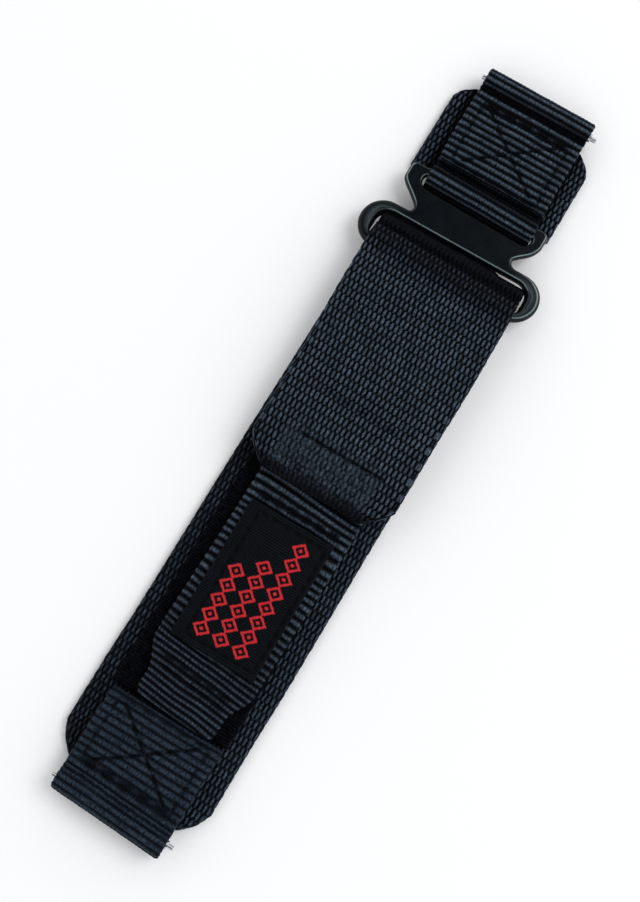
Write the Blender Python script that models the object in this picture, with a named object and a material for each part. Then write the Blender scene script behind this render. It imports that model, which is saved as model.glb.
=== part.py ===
"""Hook and loop watch strap: a long and a short strap joined by a metal buckle, lying closed and flat.

X runs across the strap, Y along it towards the short strap, and Z up from the wrist side.
The origin lies under the middle of the strap, on the surface that it rests on.
"""
import math

import bmesh
import bpy
from mathutils import Matrix, Vector

MM = 0.001

# Fabric plies and the clearance between two layers
SEAM = 0.3 * MM
WEB_PLY = 1.2 * MM
BAND_PLY = 0.9 * MM
FIELD_PLY = 1.0 * MM
TAB_PLY = 1.1 * MM
LABEL_PLY = 0.5 * MM

# Widths across the strap
LUG_WIDTH = 20.0 * MM
WEB_WIDTH = 27.2 * MM
PAD_WIDTH = 26.3 * MM
FIELD_WIDTH = 22.0 * MM
HOOK_WIDTH = 21.0 * MM
TAB_WIDTH = 18.6 * MM
TAB_TIP_WIDTH = 14.4 * MM
LABEL_WIDTH = 15.1 * MM

# Lengths along the long strap, from its lug end to its fold
LOWER_PANEL_LENGTH = 13.0 * MM
TAB_GAP = 0.7 * MM
TAB_LENGTH = 40.8 * MM
TAB_TAPER_LENGTH = 9.6 * MM
TAB_SHOULDER = 4.6 * MM
TAB_CORNER_RADIUS = 2.2 * MM
TAB_ROOT_LENGTH = 9.8 * MM
LABEL_MARGIN = 4.7 * MM
LABEL_TAPER_GAP = 1.1 * MM
FLAP_LENGTH = 40.0 * MM
FLAP_SETBACK = 1.6 * MM
PATCH_SETBACK = 5.0 * MM

# Lengths along the short strap
UPPER_PANEL_LENGTH = 13.5 * MM
LUG_VALLEY = 0.55 * MM
ROLL_VALLEY = 1.15 * MM
LUG_SETBACK = 0.45 * MM

# Cut corners of the wide fabrics: across, then along
WEB_CORNER = (3.4 * MM, 4.8 * MM)
FLAP_CORNER = (4.3 * MM, 4.5 * MM)
PAD_CORNER = (2.9 * MM, 3.1 * MM)
CORNER_BOW = 0.5 * MM

# Buckle
BUCKLE_THICKNESS = 1.7 * MM
BUCKLE_EDGE_RADIUS = 0.6 * MM
BAR_WIDTH = 1.7 * MM
FOLD_SLOT_LENGTH = 5.4 * MM
FOLD_SLOT_PLAY = 0.35 * MM
FOLD_SIDE_WALL = 2.5 * MM
FOLD_FAR_WALL = 1.25 * MM
PLATE_LENGTH = 5.35 * MM
ROLL_SLOT_LENGTH = 2.25 * MM
ROLL_SLOT_PLAY = 0.4 * MM
ROLL_SIDE_WALL = 2.1 * MM
WAIST_WIDTH = 17.7 * MM
NECK_RADIUS = 0.9 * MM
FRAME_CORNER_RADIUS = 1.2 * MM
SLOT_CORNER_RADIUS = 0.55 * MM
ROLL_SLOT_RADIUS = 1.6 * MM
FOLD_SLOT_RADIUS = 2.4 * MM

# Spring bars
TUBE_RADIUS = 0.9 * MM
TUBE_WALL = 0.22 * MM
TUBE_LIP = 0.3 * MM
TIP_RADIUS = 0.4 * MM
TIP_LENGTH = 1.0 * MM
TIP_CHAMFER = 0.1 * MM
FLANGE_RADIUS = 0.75 * MM
FLANGE_LENGTH = 0.4 * MM
SHANK_RADIUS = 0.36 * MM
HEAD_LENGTH = 0.5 * MM
TIP_TRAVEL = 1.2 * MM
BAR_PLAY = 0.1 * MM
SPRING_WIRE_RADIUS = 0.1 * MM

# Counts
SPRING_TURNS = 12
SPRING_STEPS = 10
ROUND_STEPS = 28
CORNER_STEPS = 6
EDGE_STEPS = 4
FLARE_STEPS = 12

# Heights of the layers
PLY_LOW_Z = WEB_PLY + SEAM
PLY_MID_Z = PLY_LOW_Z + BAND_PLY
PLY_HIGH_Z = PLY_MID_Z + BAND_PLY
FIELD_Z = WEB_PLY + SEAM
TAB_Z = FIELD_Z + FIELD_PLY + SEAM
TAB_TOP_Z = TAB_Z + TAB_PLY
LABEL_Z = TAB_TOP_Z + SEAM
FLAP_Z = TAB_TOP_Z + SEAM
FLAP_TOP_Z = FLAP_Z + WEB_PLY
FOLD_RADIUS = (FLAP_Z - WEB_PLY) / 2
BAR_Z = WEB_PLY + FOLD_RADIUS

# Loops round the bars: a bar turns inside with the seam clearance at its corners
BAR_HALF = min(BUCKLE_THICKNESS, BAR_WIDTH) / 2
BUCKLE_EDGE = min(BUCKLE_EDGE_RADIUS, 0.9 * BAR_HALF)
BAR_REACH = math.hypot(BUCKLE_THICKNESS / 2 - BUCKLE_EDGE, BAR_WIDTH / 2 - BUCKLE_EDGE) + BUCKLE_EDGE
ROLL_BORE = BAR_REACH + SEAM
ROLL_RADIUS = ROLL_BORE + BAND_PLY
LUG_BORE = TUBE_RADIUS + SEAM
LUG_RADIUS = LUG_BORE + BAND_PLY
LUG_BAR_Z = PLY_MID_Z

# Places along the strap, chained from the lower spring bar and centred on the origin
LONG_REACH = (LUG_RADIUS + LUG_VALLEY + LOWER_PANEL_LENGTH + TAB_GAP + TAB_LENGTH
              + SEAM + FLAP_LENGTH + SEAM + FLAP_SETBACK)
BUCKLE_PITCH = BAR_WIDTH + FOLD_SLOT_LENGTH + PLATE_LENGTH + ROLL_SLOT_LENGTH
SHORT_REACH = ROLL_RADIUS + ROLL_VALLEY + UPPER_PANEL_LENGTH + LUG_VALLEY + LUG_RADIUS
LOWER_PIN_Y = -(LONG_REACH + BUCKLE_PITCH + SHORT_REACH) / 2
LOWER_PANEL_Y = LOWER_PIN_Y + LUG_RADIUS + LUG_VALLEY
LOWER_PANEL_TOP_Y = LOWER_PANEL_Y + LOWER_PANEL_LENGTH
TAB_END_Y = LOWER_PANEL_TOP_Y + TAB_GAP
TAB_HINGE_Y = TAB_END_Y + TAB_LENGTH
FLAP_END_Y = TAB_HINGE_Y + SEAM
TAB_ROOT_Y = FLAP_END_Y + TAB_ROOT_LENGTH
FLAP_HINGE_Y = FLAP_END_Y + FLAP_LENGTH
FOLD_END_Y = FLAP_HINGE_Y + SEAM
FOLD_BAR_Y = FOLD_END_Y + FLAP_SETBACK
ROLL_BAR_Y = FOLD_BAR_Y + BUCKLE_PITCH
UPPER_PANEL_Y = ROLL_BAR_Y + ROLL_RADIUS + ROLL_VALLEY
UPPER_PANEL_TOP_Y = UPPER_PANEL_Y + UPPER_PANEL_LENGTH
UPPER_PIN_Y = LOWER_PIN_Y + LONG_REACH + BUCKLE_PITCH + SHORT_REACH

# Finishes: colour, roughness, metallic
FINISHES = {
    "navy_webbing": ((0.014, 0.017, 0.026), 0.85, 0.0),
    "navy_grosgrain": ((0.017, 0.020, 0.032), 0.75, 0.0),
    "loop_pile": ((0.008, 0.009, 0.013), 0.95, 0.0),
    "hook_tape": ((0.010, 0.011, 0.015), 0.6, 0.0),
    "woven_label": ((0.011, 0.012, 0.018), 0.8, 0.0),
    "satin_black_steel": ((0.030, 0.032, 0.036), 0.32, 0.9),
    "bright_steel": ((0.62, 0.63, 0.65), 0.22, 1.0),
}


def clear_scene() -> None:
    """Remove the objects that the scene starts with."""
    for obj in list(bpy.data.objects):
        bpy.data.objects.remove(obj, do_unlink=True)


def finish(name: str) -> bpy.types.Material:
    """Return the named finish as a Principled material."""
    material = bpy.data.materials.get(name)
    if material is None:
        colour, roughness, metallic = FINISHES[name]
        material = bpy.data.materials.new(name)
        material.use_nodes = True
        shader = material.node_tree.nodes["Principled BSDF"]
        shader.inputs["Base Color"].default_value = (*colour, 1.0)
        shader.inputs["Roughness"].default_value = roughness
        shader.inputs["Metallic"].default_value = metallic
        material.diffuse_color = (*colour, 1.0)
    return material


def add_piece(name: str, bm: bmesh.types.BMesh, material: str, pivot: Vector) -> bpy.types.Object:
    """Turn a mesh in strap coordinates into an object whose origin is its pivot."""
    bmesh.ops.recalc_face_normals(bm, faces=bm.faces)
    bmesh.ops.translate(bm, verts=bm.verts, vec=-pivot)
    mesh = bpy.data.meshes.new(name)
    bm.to_mesh(mesh)
    bm.free()
    mesh.shade_smooth()
    mesh.set_sharp_from_angle(angle=math.radians(35))
    mesh.materials.append(finish(material))
    obj = bpy.data.objects.new(name, mesh)
    obj.location = pivot
    bpy.context.scene.collection.objects.link(obj)
    return obj


def arc(centre: tuple, radius: float, start: float, end: float, steps: int) -> list:
    """Points on an arc, from the start angle to the end angle in degrees."""
    angles = [math.radians(start + (end - start) * i / steps) for i in range(steps + 1)]
    return [(centre[0] + radius * math.cos(a), centre[1] + radius * math.sin(a)) for a in angles]


def mirrored(half: list) -> list:
    """Close a right half outline, given bottom to top, with its left half."""
    return half + [(-x, y) for x, y in reversed(half)]


def chord_half(radius: float, rise: float) -> float:
    """Half the chord of a circle at a height above or below its centre."""
    return math.sqrt(max(radius ** 2 - rise ** 2, 0.0))


def meet_angle(radius: float, rise: float) -> float:
    """Angle in degrees at which a circle passes a height above its centre."""
    return math.degrees(math.asin(max(-1.0, min(1.0, rise / radius))))


def strip_section(half_width: float, ply: float) -> list:
    """Cross-section of a woven strip with round selvedges, as across and height pairs."""
    edge = ply / 2
    right = arc((half_width - edge, 0.0), edge, -90, 90, EDGE_STEPS)
    return right + [(-x, h) for x, h in reversed(right)]


def woven_strip(stations: list, ply: float) -> bmesh.types.BMesh:
    """Loft a strip through stations of middle point, upward normal and half width."""
    bm = bmesh.new()
    rings = []
    for (y, z), (ny, nz), half_width in stations:
        section = strip_section(half_width, ply)
        rings.append([bm.verts.new((x, y + ny * h, z + nz * h)) for x, h in section])
    for near, far in zip(rings, rings[1:]):
        for i, vert in enumerate(near):
            j = (i + 1) % len(near)
            bm.faces.new((vert, near[j], far[j], far[i]))
    bm.faces.new(rings[0])
    bm.faces.new(rings[-1])
    return bm


def flat_stations(plan: list, bottom: float, ply: float) -> list:
    """Stations of a level strip from pairs of place along the strap and half width."""
    return [((y, bottom + ply / 2), (0.0, 1.0), half_width) for y, half_width in plan]


def cut_end(end_y: float, inward: int, half_width: float, corner: tuple) -> list:
    """Plan of an end with slightly bowed cut corners, from the end line to the full width."""
    across, along = corner
    plan = []
    for i in range(CORNER_STEPS + 1):
        share = i / CORNER_STEPS
        bow = CORNER_BOW * math.sin(math.pi * share)
        plan.append((end_y + inward * along * share, half_width - across * (1 - share) + bow))
    return plan


def fold_stations() -> list:
    """Stations of the turn round the buckle's near bar, from the base up to the flap."""
    middle = FOLD_RADIUS + WEB_PLY / 2
    stations = []
    for i in range(ROUND_STEPS // 2 + 1):
        a = math.radians(-90 + 360 * i / ROUND_STEPS)
        point = (FOLD_BAR_Y + middle * math.cos(a), BAR_Z + middle * math.sin(a))
        stations.append((point, (-math.cos(a), -math.sin(a)), WEB_WIDTH / 2))
    return stations


def offset_loop(loop: list, distance: float) -> list:
    """Move each point of a closed outline to its left by a distance, mitred at the corners."""
    moved = []
    for i, point in enumerate(loop):
        here = Vector(point)
        into = (here - Vector(loop[i - 1])).normalized()
        out = (Vector(loop[(i + 1) % len(loop)]) - here).normalized()
        normals = [Vector((-d.y, d.x)) for d in (into, out)]
        middle = (normals[0] + normals[1]).normalized()
        moved.append(here + middle * distance / max(middle.dot(normals[0]), 0.5))
    return moved


def pierced_plate(outlines: list, thickness: float, edge: float, steps: int) -> bmesh.types.BMesh:
    """Loft a plate with rounded edges from outlines with the material on their left.

    The first outline is the outer one and the others are holes. The plate lies in X and Y,
    with its thickness centred on Z.
    """
    quarter = [math.radians(90 * i / steps) for i in range(steps + 1)]
    rise = [(edge * (1 - math.sin(a)), thickness / 2 - edge * (1 - math.cos(a))) for a in quarter]
    levels = [(inset, -height) for inset, height in rise] + list(reversed(rise))
    bm = bmesh.new()
    for outline in outlines:
        rings = []
        for inset, height in levels:
            rings.append([bm.verts.new((p[0], p[1], height)) for p in offset_loop(outline, inset)])
        for low, high in zip(rings, rings[1:]):
            for i, vert in enumerate(low):
                j = (i + 1) % len(low)
                bm.faces.new((vert, low[j], high[j], high[i]))
    for height in (-thickness / 2, thickness / 2):
        rim = [e for e in bm.edges if e.is_boundary and all(abs(v.co.z - height) < SEAM / 10 for v in e.verts)]
        bmesh.ops.triangle_fill(bm, use_beauty=True, edges=rim)
    return bm


def stand_across(bm: bmesh.types.BMesh) -> bmesh.types.BMesh:
    """Turn a plate drawn in X and Y so that its outline lies in Y and Z."""
    turn = Matrix(((0, 0, 1), (1, 0, 0), (0, 1, 0)))
    bmesh.ops.transform(bm, matrix=turn.to_4x4(), verts=bm.verts)
    return bm


def turned(profile: list, centre: Vector, closed: bool) -> bmesh.types.BMesh:
    """Spin a profile of X and radius pairs about an axis along X through the centre."""
    bm = bmesh.new()
    verts = [bm.verts.new((x, radius, 0.0)) for x, radius in profile]
    edges = [bm.edges.new(pair) for pair in zip(verts, verts[1:])]
    if closed:
        edges.append(bm.edges.new((verts[-1], verts[0])))
    bmesh.ops.spin(bm, geom=verts + edges, axis=(1, 0, 0), cent=(0, 0, 0), angle=math.tau,
                   steps=ROUND_STEPS, use_merge=True)
    bmesh.ops.remove_doubles(bm, verts=bm.verts, dist=TIP_CHAMFER / 100)
    bmesh.ops.translate(bm, verts=bm.verts, vec=centre)
    return bm


def slot_outline(half_width: float, low: float, high: float, radii: tuple) -> list:
    """Clockwise slot outline with its own radius for the low and for the high corners."""
    low_r, high_r = radii
    half = arc((half_width - low_r, low + low_r), low_r, -90, 0, CORNER_STEPS)
    half += arc((half_width - high_r, high - high_r), high_r, 0, 90, CORNER_STEPS)
    return list(reversed(mirrored(half)))


def buckle_outline() -> list:
    """Outer outline of the buckle: a wide round-ended ring, a narrow neck and a flared frame."""
    ring_low = FOLD_BAR_Y - BAR_WIDTH / 2
    ring_high = FOLD_BAR_Y + BAR_WIDTH / 2 + FOLD_SLOT_LENGTH + FOLD_FAR_WALL
    ring_radius = (ring_high - ring_low) / 2
    ring_half = WEB_WIDTH / 2 + FOLD_SLOT_PLAY + FOLD_SIDE_WALL
    frame_half = LUG_WIDTH / 2 + ROLL_SLOT_PLAY + ROLL_SIDE_WALL
    waist_half = WAIST_WIDTH / 2
    flare_low = ring_high + NECK_RADIUS
    flare_high = ROLL_BAR_Y - BAR_WIDTH / 2
    frame_top = ROLL_BAR_Y + BAR_WIDTH / 2
    half = arc((ring_half - ring_radius, ring_low + ring_radius), ring_radius, -90, 90, ROUND_STEPS // 2)
    half += arc((waist_half + NECK_RADIUS, flare_low), NECK_RADIUS, 270, 180, CORNER_STEPS)
    for i in range(1, FLARE_STEPS + 1):
        share = i / FLARE_STEPS
        ease = share ** 2 * (3 - 2 * share)
        x = waist_half + (frame_half - waist_half) * ease
        half.append((x, flare_low + (flare_high - flare_low) * share))
    corner = (frame_half - FRAME_CORNER_RADIUS, frame_top - FRAME_CORNER_RADIUS)
    half += arc(corner, FRAME_CORNER_RADIUS, 0, 90, CORNER_STEPS)
    return mirrored(half)


def add_buckle() -> None:
    """Buckle in one piece: near bar and fold slot, waisted plate, roll slot and far bar."""
    fold_low = FOLD_BAR_Y + BAR_WIDTH / 2
    fold_half = WEB_WIDTH / 2 + FOLD_SLOT_PLAY
    fold_slot = slot_outline(fold_half, fold_low, fold_low + FOLD_SLOT_LENGTH,
                             (SLOT_CORNER_RADIUS, FOLD_SLOT_RADIUS))
    roll_high = ROLL_BAR_Y - BAR_WIDTH / 2
    roll_half = LUG_WIDTH / 2 + ROLL_SLOT_PLAY
    roll_slot = slot_outline(roll_half, roll_high - ROLL_SLOT_LENGTH, roll_high,
                             (ROLL_SLOT_RADIUS, SLOT_CORNER_RADIUS))
    bm = pierced_plate([buckle_outline(), fold_slot, roll_slot], BUCKLE_THICKNESS, BUCKLE_EDGE, 4)
    bmesh.ops.translate(bm, verts=bm.verts, vec=(0, 0, BAR_Z))
    add_piece("buckle_frame", bm, "satin_black_steel", Vector((0, FOLD_BAR_Y, BAR_Z)))


def bore_outline(centre: tuple, radius: float) -> list:
    """Clockwise circle, for a hole."""
    return arc(centre, radius, 360, 360 / ROUND_STEPS, ROUND_STEPS - 1)


def add_band(name: str, outline: list, bores: list, pivot: Vector) -> None:
    """Folded grosgrain band across the strap, from its side outline and its loops' bores."""
    bm = pierced_plate([outline, *bores], LUG_WIDTH, BAND_PLY / 6, 1)
    add_piece(name, stand_across(bm), "navy_grosgrain", pivot)


def add_lower_band() -> None:
    """Band sewn on the long strap, with a loop for the lower spring bar."""
    pin = (LOWER_PIN_Y, LUG_BAR_Z)
    low = -meet_angle(LUG_RADIUS, LUG_BAR_Z - PLY_LOW_Z)
    outline = [(LOWER_PANEL_TOP_Y, PLY_LOW_Z), (LOWER_PANEL_TOP_Y, PLY_HIGH_Z),
               (LOWER_PANEL_Y, PLY_HIGH_Z), (LOWER_PANEL_Y, PLY_MID_Z)]
    outline += arc(pin, LUG_RADIUS, 0, 360 + low, ROUND_STEPS)
    add_band("lower_lug_band", outline, [bore_outline(pin, LUG_BORE)], Vector((0, *pin)))


def add_upper_band() -> None:
    """Band sewn on the pad, with a roll round the buckle's far bar and a loop for the upper spring bar."""
    pin = (UPPER_PIN_Y, LUG_BAR_Z)
    roll = (ROLL_BAR_Y, BAR_Z)
    low = meet_angle(LUG_RADIUS, LUG_BAR_Z - PLY_LOW_Z)
    outline = arc(pin, LUG_RADIUS, low - 180, 180, ROUND_STEPS)
    outline += [(UPPER_PANEL_TOP_Y, PLY_MID_Z), (UPPER_PANEL_TOP_Y, PLY_HIGH_Z),
                (UPPER_PANEL_Y, PLY_HIGH_Z), (UPPER_PANEL_Y, PLY_MID_Z)]
    outline += arc(roll, ROLL_RADIUS, -meet_angle(ROLL_RADIUS, BAR_Z - PLY_MID_Z),
                   360 - meet_angle(ROLL_RADIUS, BAR_Z - PLY_LOW_Z), ROUND_STEPS)
    bores = [bore_outline(pin, LUG_BORE), bore_outline(roll, ROLL_BORE)]
    add_band("upper_lug_band", outline, bores, Vector((0, *roll)))


def add_long_strap() -> None:
    """Base webbing with its fold round the buckle, and the loop field on it."""
    loop_edge = chord_half(LUG_RADIUS, LUG_BAR_Z - WEB_PLY)
    plan = cut_end(LOWER_PIN_Y + loop_edge + LUG_SETBACK, 1, WEB_WIDTH / 2, WEB_CORNER)
    stations = flat_stations(plan, 0.0, WEB_PLY) + fold_stations()
    stations.append(((FOLD_END_Y, FLAP_Z + WEB_PLY / 2), (0.0, -1.0), WEB_WIDTH / 2))
    fold_bar = Vector((0, FOLD_BAR_Y, BAR_Z))
    add_piece("base_webbing", woven_strip(stations, WEB_PLY), "navy_webbing", fold_bar)
    field = [(LOWER_PANEL_TOP_Y + SEAM, FIELD_WIDTH / 2), (FOLD_BAR_Y - PATCH_SETBACK, FIELD_WIDTH / 2)]
    bm = woven_strip(flat_stations(field, FIELD_Z, FIELD_PLY), FIELD_PLY)
    add_piece("loop_field", bm, "loop_pile", fold_bar)


def add_flap() -> None:
    """Webbing flap that folds back over the base, with its hook patch and the tab's sewn end."""
    hinge = Vector((0, FLAP_HINGE_Y, FLAP_TOP_Z))
    plan = cut_end(FLAP_END_Y, 1, WEB_WIDTH / 2, FLAP_CORNER)
    plan.append((FLAP_HINGE_Y, WEB_WIDTH / 2))
    bm = woven_strip(flat_stations(plan, FLAP_Z, WEB_PLY), WEB_PLY)
    add_piece("flap_webbing", bm, "navy_webbing", hinge)
    patch = [(TAB_ROOT_Y + SEAM, HOOK_WIDTH / 2), (FOLD_BAR_Y - PATCH_SETBACK, HOOK_WIDTH / 2)]
    bm = woven_strip(flat_stations(patch, TAB_Z, TAB_PLY), TAB_PLY)
    add_piece("hook_patch", bm, "hook_tape", hinge)
    root = [(FLAP_END_Y, TAB_WIDTH / 2), (TAB_ROOT_Y, TAB_WIDTH / 2)]
    bm = woven_strip(flat_stations(root, TAB_Z, TAB_PLY), TAB_PLY)
    add_piece("tab_root", bm, "navy_grosgrain", hinge)


def tab_plan() -> list:
    """Plan of the pull tab: round corners, a narrow tip, a shoulder and the full width."""
    plan = []
    radius = TAB_CORNER_RADIUS
    for i in range(CORNER_STEPS + 1):
        a = math.radians(90 * i / CORNER_STEPS)
        plan.append((TAB_END_Y + radius * (1 - math.cos(a)),
                     TAB_TIP_WIDTH / 2 - radius * (1 - math.sin(a))))
    taper_y = TAB_END_Y + TAB_TAPER_LENGTH
    for i in range(FLARE_STEPS // 2 + 1):
        share = 2 * i / FLARE_STEPS
        ease = share ** 2 * (3 - 2 * share)
        half = TAB_TIP_WIDTH / 2 + (TAB_WIDTH - TAB_TIP_WIDTH) / 2 * ease
        plan.append((taper_y - TAB_SHOULDER * (1 - share), half))
    plan.append((TAB_HINGE_Y, TAB_WIDTH / 2))
    return plan


def add_tab() -> None:
    """Pull tab that comes out from under the flap's end, with a label sewn on it."""
    hinge = Vector((0, TAB_HINGE_Y, TAB_TOP_Z))
    bm = woven_strip(flat_stations(tab_plan(), TAB_Z, TAB_PLY), TAB_PLY)
    add_piece("tab_band", bm, "navy_grosgrain", hinge)
    label = [(TAB_END_Y + TAB_TAPER_LENGTH + LABEL_TAPER_GAP, LABEL_WIDTH / 2),
             (TAB_HINGE_Y - LABEL_MARGIN, LABEL_WIDTH / 2)]
    bm = woven_strip(flat_stations(label, LABEL_Z, LABEL_PLY), LABEL_PLY)
    add_piece("label_patch", bm, "woven_label", hinge)


def add_pad() -> None:
    """Wide pad under the short strap's band."""
    low = ROLL_BAR_Y + chord_half(ROLL_RADIUS, BAR_Z - WEB_PLY) + SEAM
    high = UPPER_PIN_Y - chord_half(LUG_RADIUS, LUG_BAR_Z - WEB_PLY) - LUG_SETBACK
    plan = [(low, PAD_WIDTH / 2)] + list(reversed(cut_end(high, -1, PAD_WIDTH / 2, PAD_CORNER)))
    bm = woven_strip(flat_stations(plan, 0.0, WEB_PLY), WEB_PLY)
    add_piece("short_pad", bm, "navy_webbing", Vector((0, ROLL_BAR_Y, BAR_Z)))


def add_tube(name: str, centre: Vector) -> None:
    """Spring bar's tube, with a lip at each end that keeps its tips in."""
    half = LUG_WIDTH / 2 - FLANGE_LENGTH - TIP_TRAVEL
    bore = TUBE_RADIUS - TUBE_WALL
    lip = SHANK_RADIUS + BAR_PLAY
    right = [(half - TUBE_LIP, bore), (half - TUBE_LIP, lip), (half, lip),
             (half, TUBE_RADIUS - TIP_CHAMFER), (half - TIP_CHAMFER, TUBE_RADIUS)]
    profile = right + [(-x, radius) for x, radius in reversed(right)]
    add_piece(name, turned(profile, centre, True), "bright_steel", centre)


def add_tip(name: str, centre: Vector, side: int) -> None:
    """Sprung tip: head inside the tube, shank, flange at the lug and pivot past it."""
    lug = LUG_WIDTH / 2
    head = lug - FLANGE_LENGTH - TIP_TRAVEL - TUBE_LIP - BAR_PLAY
    head_radius = TUBE_RADIUS - TUBE_WALL - BAR_PLAY
    profile = [(head - HEAD_LENGTH, 0.0), (head - HEAD_LENGTH, head_radius), (head, head_radius),
               (head, SHANK_RADIUS), (lug - FLANGE_LENGTH, SHANK_RADIUS),
               (lug - FLANGE_LENGTH, FLANGE_RADIUS), (lug, FLANGE_RADIUS), (lug, TIP_RADIUS),
               (lug + TIP_LENGTH - TIP_CHAMFER, TIP_RADIUS),
               (lug + TIP_LENGTH, TIP_RADIUS - TIP_CHAMFER), (lug + TIP_LENGTH, 0.0)]
    bm = turned([(side * x, radius) for x, radius in profile], centre, False)
    add_piece(name, bm, "bright_steel", centre)


def spring_points() -> list:
    """Points of the coil spring between the two heads, as a helix along X."""
    head = LUG_WIDTH / 2 - FLANGE_LENGTH - TIP_TRAVEL - TUBE_LIP - BAR_PLAY - HEAD_LENGTH
    half = head - BAR_PLAY - SPRING_WIRE_RADIUS
    radius = TUBE_RADIUS - TUBE_WALL - BAR_PLAY - SPRING_WIRE_RADIUS
    count = SPRING_TURNS * SPRING_STEPS
    points = []
    for i in range(count + 1):
        a = math.tau * i / SPRING_STEPS
        points.append(Vector((half * (2 * i / count - 1), radius * math.cos(a), radius * math.sin(a))))
    return points


def spring_gap(points: list) -> float:
    """Least gap between one turn of the spring's wire and the next."""
    pairs = [(points[i], p) for i in range(len(points)) for p in points[i + SPRING_STEPS // 2 + 1:]]
    return min((p - q).length for p, q in pairs) - 2 * SPRING_WIRE_RADIUS


def add_spring(name: str, centre: Vector) -> None:
    """Coil spring that pushes a bar's two tips apart."""
    points = spring_points()
    print(f"{name}: least gap between turns {spring_gap(points) / MM:.2f} mm")
    curve = bpy.data.curves.new(name, "CURVE")
    curve.dimensions = "3D"
    curve.bevel_depth = SPRING_WIRE_RADIUS
    curve.bevel_resolution = 1
    curve.use_fill_caps = True
    spline = curve.splines.new("POLY")
    spline.points.add(len(points) - 1)
    for target, point in zip(spline.points, points):
        target.co = (*point, 1.0)
    curve.materials.append(finish("bright_steel"))
    obj = bpy.data.objects.new(name, curve)
    obj.location = centre
    bpy.context.scene.collection.objects.link(obj)


def add_spring_bar(prefix: str, centre: Vector) -> None:
    """Double-shoulder spring bar through a lug loop."""
    add_tube(f"{prefix}_bar_tube", centre)
    add_tip(f"{prefix}_bar_left_tip", centre, -1)
    add_tip(f"{prefix}_bar_right_tip", centre, 1)
    add_spring(f"{prefix}_bar_spring", centre)


def main() -> None:
    """Build the strap."""
    clear_scene()
    add_long_strap()
    add_lower_band()
    add_flap()
    add_tab()
    add_buckle()
    add_pad()
    add_upper_band()
    add_spring_bar("lower", Vector((0, LOWER_PIN_Y, LUG_BAR_Z)))
    add_spring_bar("upper", Vector((0, UPPER_PIN_Y, LUG_BAR_Z)))


main()
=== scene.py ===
"""Dressed model of the hook and loop watch strap, lying closed on a pale studio floor.

X runs across the strap, Y along it towards the short strap, and Z up from the wrist side.
Sizes in the classes are millimetres; a mesh is turned into metres when it is laid out.
"""
import logging
import math
from dataclasses import dataclass, field, replace
from enum import Enum
from typing import Callable, Iterator

import bpy
import numpy as np
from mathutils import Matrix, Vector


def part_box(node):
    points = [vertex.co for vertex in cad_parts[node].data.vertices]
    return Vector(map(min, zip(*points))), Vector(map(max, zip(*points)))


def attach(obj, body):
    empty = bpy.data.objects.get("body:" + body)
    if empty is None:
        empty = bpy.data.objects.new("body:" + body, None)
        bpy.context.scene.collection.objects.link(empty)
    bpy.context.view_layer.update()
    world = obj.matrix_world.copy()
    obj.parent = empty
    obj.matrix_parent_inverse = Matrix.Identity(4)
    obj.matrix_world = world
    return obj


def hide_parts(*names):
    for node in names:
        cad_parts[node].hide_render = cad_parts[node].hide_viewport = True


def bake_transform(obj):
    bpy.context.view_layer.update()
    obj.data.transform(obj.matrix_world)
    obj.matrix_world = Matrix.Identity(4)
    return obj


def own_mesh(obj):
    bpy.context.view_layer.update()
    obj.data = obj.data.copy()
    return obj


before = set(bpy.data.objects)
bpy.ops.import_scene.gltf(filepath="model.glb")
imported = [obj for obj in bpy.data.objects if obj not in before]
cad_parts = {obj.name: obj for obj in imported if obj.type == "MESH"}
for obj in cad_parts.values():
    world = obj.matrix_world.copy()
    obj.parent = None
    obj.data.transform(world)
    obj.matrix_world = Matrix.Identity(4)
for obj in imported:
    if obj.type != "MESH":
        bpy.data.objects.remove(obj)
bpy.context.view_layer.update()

MM = 0.001
MERGE_GAP = 1e-8
SHARP_TURN = math.radians(62)
YARN_RELIEF = 0.06 * MM
GRAIN_RELIEF = 0.01 * MM
STRIP_UV = "strip"
log = logging.getLogger("strap")

Array = np.ndarray
Piece = bpy.types.Object
Socket = bpy.types.NodeSocket
Field = Callable[[Array], Array]
Plane = Callable[[Array, Array], Array]
Colour = tuple[float, float, float]
Point = tuple[float, float]
Steps = tuple[tuple[float, float, float], ...]


class Body(Enum):
    """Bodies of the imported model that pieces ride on."""

    LONG_STRAP = "long_strap"
    FLAP = "flap"
    PULL_TAB = "pull_tab"
    BUCKLE = "buckle"
    SHORT_STRAP = "short_strap"
    LOWER_BAR = "lower_bar"
    UPPER_BAR = "upper_bar"


class Slot(Enum):
    """Material slots of the record."""

    WEBBING = "navy_webbing"
    GROSGRAIN = "navy_grosgrain"
    LOOPS = "loop_pile"
    HOOKS = "hook_tape"
    LABEL = "woven_label"
    BLACK_STEEL = "satin_black_steel"
    BRIGHT_STEEL = "bright_steel"


class Mark(Enum):
    """Surface values that the meshes carry for their materials."""

    # height of the yarns, with painted shade multiplied in; the fabrics turn it into painted shade in
    # their gaps
    CROWN = "crown"
    MOTIF = "motif"
    # strength of the painted highlight along the buckle's rims
    RIM = "rim"


def ease(share: Array) -> Array:
    """Smooth step of a share, held between 0 and 1."""
    share = np.clip(share, 0.0, 1.0)
    return share * share * (3 - 2 * share)


def ramp(value: Array, start: float, reach: float) -> Array:
    """Smooth step from 0 at the start to 1 a reach further on, or back where the reach is negative."""
    return ease((value - start) / reach)


def stepped(value: Array, base: Array | float, steps: Steps) -> Array:
    """Base with smooth steps added to it, each given by its start, its reach and its rise."""
    for start, reach, rise in steps:
        base = base + rise * ramp(value, start, reach)
    return base


def run_lengths(line: Array) -> Array:
    """Length along a line of points, up to each of them."""
    return np.r_[0, np.cumsum(np.linalg.norm(np.diff(line, axis=0), axis=1))]


def on_line(places: Array, lengths: Array, line: Array) -> Array:
    """Values of a line of pairs at places along it, given its length up to each pair."""
    return np.stack([np.interp(places, lengths, line[:, k]) for k in (0, 1)], -1)


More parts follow.
